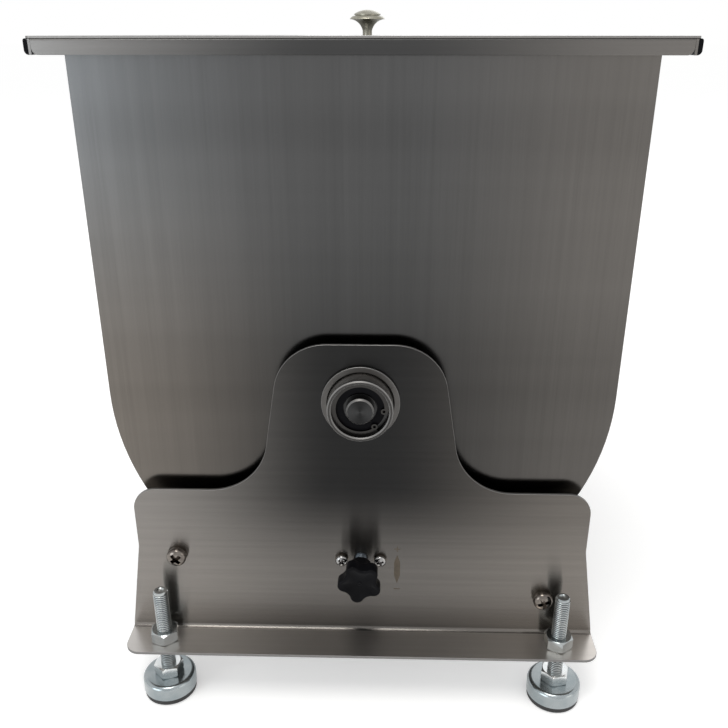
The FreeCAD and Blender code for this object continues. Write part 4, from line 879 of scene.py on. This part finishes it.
def cross_recess(radius, depth):
    """Tapered cross that is cut out of a screw's head."""
    shape = bmesh.new()
    levels = []
    mouth = (0.3 * depth, 0.72 * radius, 0.21 * radius)
    floor = (-depth, 0.38 * radius, 0.15 * radius)
    for level, reach, half in (mouth, floor):
        outline = [(reach, -half), (reach, half), (half, half)]
        for turn in range(3):
            outline += [(-y, x) for x, y in outline[-3:]]
        levels.append([shape.verts.new((x, y, level)) for x, y in outline])
    upper, lower = levels
    count = len(upper)
    for step in range(count):
        after = (step + 1) % count
        shape.faces.new((lower[step], lower[after], upper[after], upper[step]))
    shape.faces.new(upper)
    shape.faces.new(lower[::-1])
    bmesh.ops.triangulate(shape, faces=[face for face in shape.faces if len(face.verts) > 4])
    return shape


CROWN_FOOT = 0.28
CROWN_STEPS = 7


def pan_screw(name, material, head, height, shank, length):
    """Screw standing on Z, with its head's underside at 0."""
    crown = [(0, height)]
    for step in range(1, CROWN_STEPS + 1):
        swing = math.radians(90 * step / CROWN_STEPS)
        crown.append((head * math.sin(swing) ** 0.9,
                      height * (CROWN_FOOT + (1 - CROWN_FOOT) * math.cos(swing) ** 0.8)))
    profile = crown + [(head, 0.12 * height), (head * 0.97, 0), (shank, 0), (shank, -length), (0, -length)]
    screw = from_bmesh(name, lathe(profile, 48), material, 35)
    tool = from_bmesh("cross", cross_recess(head, 0.8 * height), material)
    move(tool, Matrix.Translation((0, 0, 0.98 * height)))
    cut = screw.modifiers.new("Recess", "BOOLEAN")
    cut.operation = "DIFFERENCE"
    cut.solver = "EXACT"
    cut.object = tool
    result = baked(screw, name + "_cut", material)
    bpy.data.objects.remove(tool)
    for polygon in result.data.polygons:
        polygon.use_smooth = True
    result.data.set_sharp_from_angle(angle=math.radians(35))
    return result


def fastener_tree():
    """One screw set at each point, facing one way, with its own turn about its axis."""
    tree = bpy.data.node_groups.new("Screws in place", "GeometryNodeTree")
    tree.interface.new_socket("Geometry", in_out="OUTPUT", socket_type="NodeSocketGeometry")
    for label, kind in (("Places", "Geometry"), ("Screw", "Object"), ("Facing", "Vector"), ("Seed", "Int"),
                        ("Finish", "Material")):
        tree.interface.new_socket(label, in_out="INPUT", socket_type="NodeSocket" + kind)
    given = tree.nodes.new("NodeGroupInput").outputs
    screw = tree.nodes.new("GeometryNodeObjectInfo")
    tree.links.new(given["Screw"], screw.inputs["Object"])
    facing = tree.nodes.new("FunctionNodeAlignRotationToVector")
    facing.axis = "Z"
    tree.links.new(given["Facing"], facing.inputs["Vector"])
    chance = tree.nodes.new("FunctionNodeRandomValue")
    chance.data_type = "FLOAT"
    chance.inputs[3].default_value = math.pi
    tree.links.new(given["Seed"], chance.inputs["Seed"])
    about = tree.nodes.new("FunctionNodeAxisAngleToRotation")
    about.inputs["Axis"].default_value = (0, 0, 1)
    tree.links.new(chance.outputs[1], about.inputs["Angle"])
    turn = tree.nodes.new("FunctionNodeRotateRotation")
    turn.rotation_space = "LOCAL"
    tree.links.new(facing.outputs[0], turn.inputs["Rotation"])
    tree.links.new(about.outputs[0], turn.inputs["Rotate By"])
    place = tree.nodes.new("GeometryNodeInstanceOnPoints")
    tree.links.new(given["Places"], place.inputs["Points"])
    tree.links.new(screw.outputs["Geometry"], place.inputs["Instance"])
    tree.links.new(turn.outputs[0], place.inputs["Rotation"])
    return finish_tree(tree, place.outputs[0], given["Finish"])


FASTENERS = fastener_tree()


def screws_at(name, material, screw, places, facing, seed):
    """Copies of a screw at several places, baked into one mesh."""
    mesh = bpy.data.meshes.new(name)
    mesh.from_pydata([tuple(place) for place in places], [], [])
    item = add_object(name, mesh)
    modifier = item.modifiers.new("Screws", "NODES")
    modifier.node_group = FASTENERS
    set_inputs(modifier, {"Screw": screw, "Facing": facing, "Seed": seed, "Finish": material})
    return baked(item, name + "_set", material)


ROD_WASHERS = 3.2 * MM
LOCK_WASHERS = 1.9 * MM
LOCK_SCREW_ACROSS = 12.8 * MM
# Head's radius and height, shank's radius and length
ROD_SCREW = (6.5 * MM, 5 * MM, 3 * MM, 12.8 * MM)
BLOCK_SCREW = (4 * MM, 3.1 * MM, 2 * MM, 4.1 * MM)


def screws():
    """Pan screws of the tie rods and of the lock block."""
    rods = [middle("tie_rod_left"), middle("tie_rod_right")]
    large = pan_screw("rod_screw", ROD_SCREW_STEEL, *ROD_SCREW)
    sets = []
    for face, facing, seed in ((PLATE_FACE - ROD_WASHERS, (0, -1, 0), 4),
                               (REAR_FACE + ROD_WASHERS, (0, 1, 0), 9)):
        places = [Vector((rod.x, face, rod.z)) for rod in rods]
        sets.append(screws_at("rod_screws", ROD_SCREW_STEEL, large, places, facing, seed))
    bpy.data.objects.remove(large)
    fit(join(sets, "tie_rod_cross_screws"), "frame", "stainless", "tie_rod_screws")
    small = pan_screw("block_screw", SCREW_STEEL, *BLOCK_SCREW)
    places = [Vector((side * LOCK_SCREW_ACROSS, PLATE_FACE - LOCK_WASHERS, LOCK.z)) for side in (-1, 1)]
    pair = screws_at("block_screws", SCREW_STEEL, small, places, (0, -1, 0), 12)
    bpy.data.objects.remove(small)
    pair.name = "lock_block_cross_screws"
    fit(pair, "frame", "stainless", "lock_block_screws")


# Lock knob and its stud

KNOB_LOBES = 5
LOBE_STEPS = 10
EDGE_STEPS = 4
KNOB_LOBE = 4.3 * MM
KNOB_RING = 10.0 * MM
KNOB_WAIST = 10.7 * MM
KNOB_TURN = math.radians(260.6)
KNOB_THICK = 9 * MM
KNOB_HUB = 7.5 * MM
KNOB_HUB_GAP = 8 * MM
LOCK_STAND = Matrix.Translation((LOCK.x, PLATE_FACE, LOCK.z)) @ Matrix.Rotation(math.radians(90), 4, "X")


def star(offset, scale, height):
    """Ring of points on the knob's outline, drawn in by an offset and a scale."""
    half = math.pi / KNOB_LOBES
    reach = KNOB_RING * math.cos(half)
    valley = ((KNOB_RING ** 2 + KNOB_WAIST ** 2 - 2 * reach * KNOB_WAIST - KNOB_LOBE ** 2)
              / (2 * (KNOB_LOBE - KNOB_WAIST + reach)))
    far = KNOB_WAIST + valley
    lean = math.atan2(far * math.sin(half), far * math.cos(half) - KNOB_RING)
    sweep = 2 * (lean - half)
    points = []
    for lobe in range(KNOB_LOBES):
        turn = KNOB_TURN + 2 * half * lobe
        centre = Vector((math.cos(turn), math.sin(turn))) * KNOB_RING
        after = Vector((math.cos(turn + half), math.sin(turn + half))) * far
        for step in range(-LOBE_STEPS, LOBE_STEPS):
            swing = turn + lean * step / LOBE_STEPS
            points.append(centre + Vector((math.cos(swing), math.sin(swing))) * (KNOB_LOBE - offset))
        start = turn + lean + math.pi
        for step in range(LOBE_STEPS):
            swing = start - sweep * step / LOBE_STEPS
            points.append(after + Vector((math.cos(swing), math.sin(swing))) * (valley + offset))
    return [(point.x * scale, point.y * scale, height) for point in points]


def skin(shape, rings):
    """Join rings of equal count with quads, and close both ends with a fan."""
    loops = [[shape.verts.new(point) for point in ring] for ring in rings]
    count = len(loops[0])
    for low, high in zip(loops, loops[1:]):
        for step in range(count):
            after = (step + 1) % count
            shape.faces.new((low[step], low[after], high[after], high[step]))
    for loop in (loops[0], loops[-1]):
        centre = shape.verts.new(sum((vert.co for vert in loop), Vector()) / count)
        for step in range(count):
            shape.faces.new((loop[step], loop[(step + 1) % count], centre))


def lock_knob():
    """Five-lobed knob with soft edges, a dished face and a small pip; its axis is Z, the plate at 0."""
    face = PLATE_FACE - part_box("lock_knob")[0][1]
    back = face - KNOB_THICK
    edge = 1.0 * MM
    rings = [star(1.2 * MM, 0.55, back), star(1.2 * MM, 0.96, back)]
    for step in range(EDGE_STEPS + 1):
        swing = math.radians(90 * step / EDGE_STEPS)
        rings.append(star(edge * (1 - math.sin(swing)), 1.0, back + edge * (1 - math.cos(swing))))
    for step in range(EDGE_STEPS + 1):
        swing = math.radians(90 * step / EDGE_STEPS)
        rings.append(star(edge * (1 - math.cos(swing)), 1.0, face - edge * (1 - math.sin(swing))))
    dish = ((0.93, 0.1), (0.86, 0.45), (0.74, 0.95), (0.6, 1.3), (0.45, 1.5), (0.3, 1.6), (0.15, 1.6))
    for scale, drop in dish:
        rings.append(star(edge + (1 - scale) * KNOB_LOBE * 0.6, scale, face - drop * MM))
    shape = bmesh.new()
    skin(shape, rings)
    lobes = from_bmesh("lobes", shape, PLASTIC, 60)
    hub = [(0, KNOB_HUB_GAP), (KNOB_HUB - 0.6 * MM, KNOB_HUB_GAP), (KNOB_HUB, KNOB_HUB_GAP + 0.6 * MM),
           (KNOB_HUB, back - 1.5 * MM), (KNOB_HUB + 0.6 * MM, back - 0.4 * MM),
           (KNOB_HUB + 1.4 * MM, back + 0.2 * MM), (0, back + 0.2 * MM)]
    neck = from_bmesh("neck", lathe(hub, 48), PLASTIC, 50)
    bead = [(1.5, 1.7), (1.4, 1.25), (1.0, 1.1), (0.75, 1.25), (0, 1.5)]
    pip = from_bmesh("pip", lathe([(out * MM, face - drop * MM) for out, drop in bead], 24), PLASTIC, 60)
    knob = join([lobes, neck, pip], "lock_star_knob")
    fit(move(knob, LOCK_STAND), "lock_screw", "black_plastic", "lock_knob")


def lock_stud():
    """Threaded stud of the knob, with a plain tip behind the plate."""
    low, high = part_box("lock_stud")
    radius = (high[0] - low[0]) / 2
    root = radius - THREAD_DEPTH * LOCK_PITCH
    back_end, front_end = PLATE_FACE - high[1], PLATE_FACE - low[1]
    tip = 2.4 * MM
    shoulder = back_end + 1.1 * MM
    profile = [(0, back_end), (tip, back_end), (tip, shoulder), (root, shoulder), (root, front_end),
               (0, front_end)]
    # The whole lock stud is in the darker zinc: painted shade.
    core = from_bmesh("core", lathe(profile, 32), ZINC_IN_SHADE, 50)
    ridge = thread(radius, LOCK_PITCH, front_end - shoulder - 4 * MM, ZINC_IN_SHADE)
    move(ridge, Matrix.Translation((0, 0, shoulder + 1 * MM)))
    stud = join([core, ridge], "lock_threaded_stud")
    fit(move(stud, LOCK_STAND), "lock_screw", "bright_zinc", "lock_stud")


# Etched marks beside the lock

MARK_ACROSS = 24.2 * MM
MARK_TOP, MARK_BOTTOM = -112 * MM, -135 * MM
ARROW_HALF = 2 * MM
POINT_TOP, POINT_BOTTOM = 6 * MM, 6.5 * MM
SIGN_AWAY = 4.6 * MM
SIGN_BAR, SIGN_STROKE = 2.1 * MM, 0.36 * MM
MARK_PROUD, MARK_STEP, MARK_THICK = 0.03 * MM, 0.004 * MM, 0.02 * MM


def etched_marks():
    """Double-pointed arrow with a plus above and a minus below, a hair proud of the plate."""
    taper_top, taper_bottom = MARK_TOP - POINT_TOP, MARK_BOTTOM + POINT_BOTTOM
    arrow = [(0, MARK_TOP), (ARROW_HALF, taper_top), (ARROW_HALF, taper_bottom), (0, MARK_BOTTOM),
             (-ARROW_HALF, taper_bottom), (-ARROW_HALF, taper_top)]
    plus_up, minus_up = MARK_TOP + SIGN_AWAY, MARK_BOTTOM - SIGN_AWAY
    outlines = [arrow]
    for rise, across, up in ((plus_up, SIGN_BAR, SIGN_STROKE), (plus_up, SIGN_STROKE, SIGN_BAR),
                             (minus_up, SIGN_BAR, SIGN_STROKE)):
        outlines.append([(-across, rise - up), (across, rise - up), (across, rise + up),
                         (-across, rise + up)])
    shape = bmesh.new()
    for depth, outline in enumerate(outlines):
        proud = PLATE_FACE - MARK_PROUD - MARK_STEP * depth
        face = shape.faces.new([shape.verts.new((MARK_ACROSS + x, proud, PIVOT.z + z)) for x, z in outline])
        face.normal_update()
        if face.normal.y > 0:
            face.normal_flip()
    for face in list(shape.faces):
        wall = bmesh.ops.extrude_face_region(shape, geom=[face])
        fresh = [item for item in wall["geom"] if isinstance(item, bmesh.types.BMVert)]
        bmesh.ops.translate(shape, verts=fresh, vec=(0, MARK_THICK, 0))
    mark = from_bmesh("etched_arrow", shape, ETCHED)
    fit(mark, "frame", "stainless")


# Finishes of the carried nodes

def dress(material, *nodes):
    """Give carried nodes their finish."""
    for node in nodes:
        item = NODES[node]
        item.data.materials.clear()
        item.data.materials.append(material)


def dress_nodes():
    dress(PLATE_STEEL, "front_end_plate", "rear_end_plate")
    dress(WALL_STEEL, "bowl_front_wall", "bowl_rear_wall")
    dress(TROUGH_STEEL, "bowl_trough")
    dress(LID_STEEL, "lid_panel")
    dress(TUBE_STEEL, "front_trunnion", "rear_trunnion")
    dress(COLLAR_STEEL, "front_pivot_collar", "rear_pivot_collar")
    dress(SHAFT_STEEL, "agitator_shaft")
    dress(BEARING_STEEL, "front_bearing_outer_race", "rear_bearing_outer_race", "bearing_inner_races",
          "bearing_balls")
    dress(CLIP_STEEL, "front_circlip", "rear_circlip")
    dress(SEAL_AND_HEM_SHADE, "front_bearing_seals", "rear_bearing_seals", "shaft_seals")
    dress(PLAIN_STEEL, "tie_rod_left", "tie_rod_right", "lock_block", "paddle_1", "paddle_2", "paddle_3",
          "paddle_4", "crank_arm", "crank_grip_bolt", "paddle_bolts")
    dress(SCREW_STEEL, "tie_rod_screws", "lock_block_screws", "lid_knob_screw", "crank_set_screw")
    dress(WASHER_STEEL, "tie_rod_spring_washers", "tie_rod_flat_washers", "lock_spring_washers",
          "lock_flat_washers")
    dress(SATIN_STEEL, "lid_knob")
    dress(PLASTIC, "lock_knob", "lock_pad", "crank_grip")
    dress(ZINC, "lock_stud", "foot_weld_nuts")
    for foot in FEET:
        dress(ZINC, foot + "_stud")
        dress(NUT_ZINC, foot + "_nut")
        dress(CUP_ZINC, foot + "_cup")
        dress(RUBBER, foot + "_sole")


bpy.context.scene.view_settings.view_transform = "Standard"
set_camera()
set_world()
set_floor()
set_lamps()
dress_nodes()
sheet_pieces()
hem_shade_and_tabs()
lid_knob()
foot_studs()
screws()
lock_knob()
lock_stud()
etched_marks()
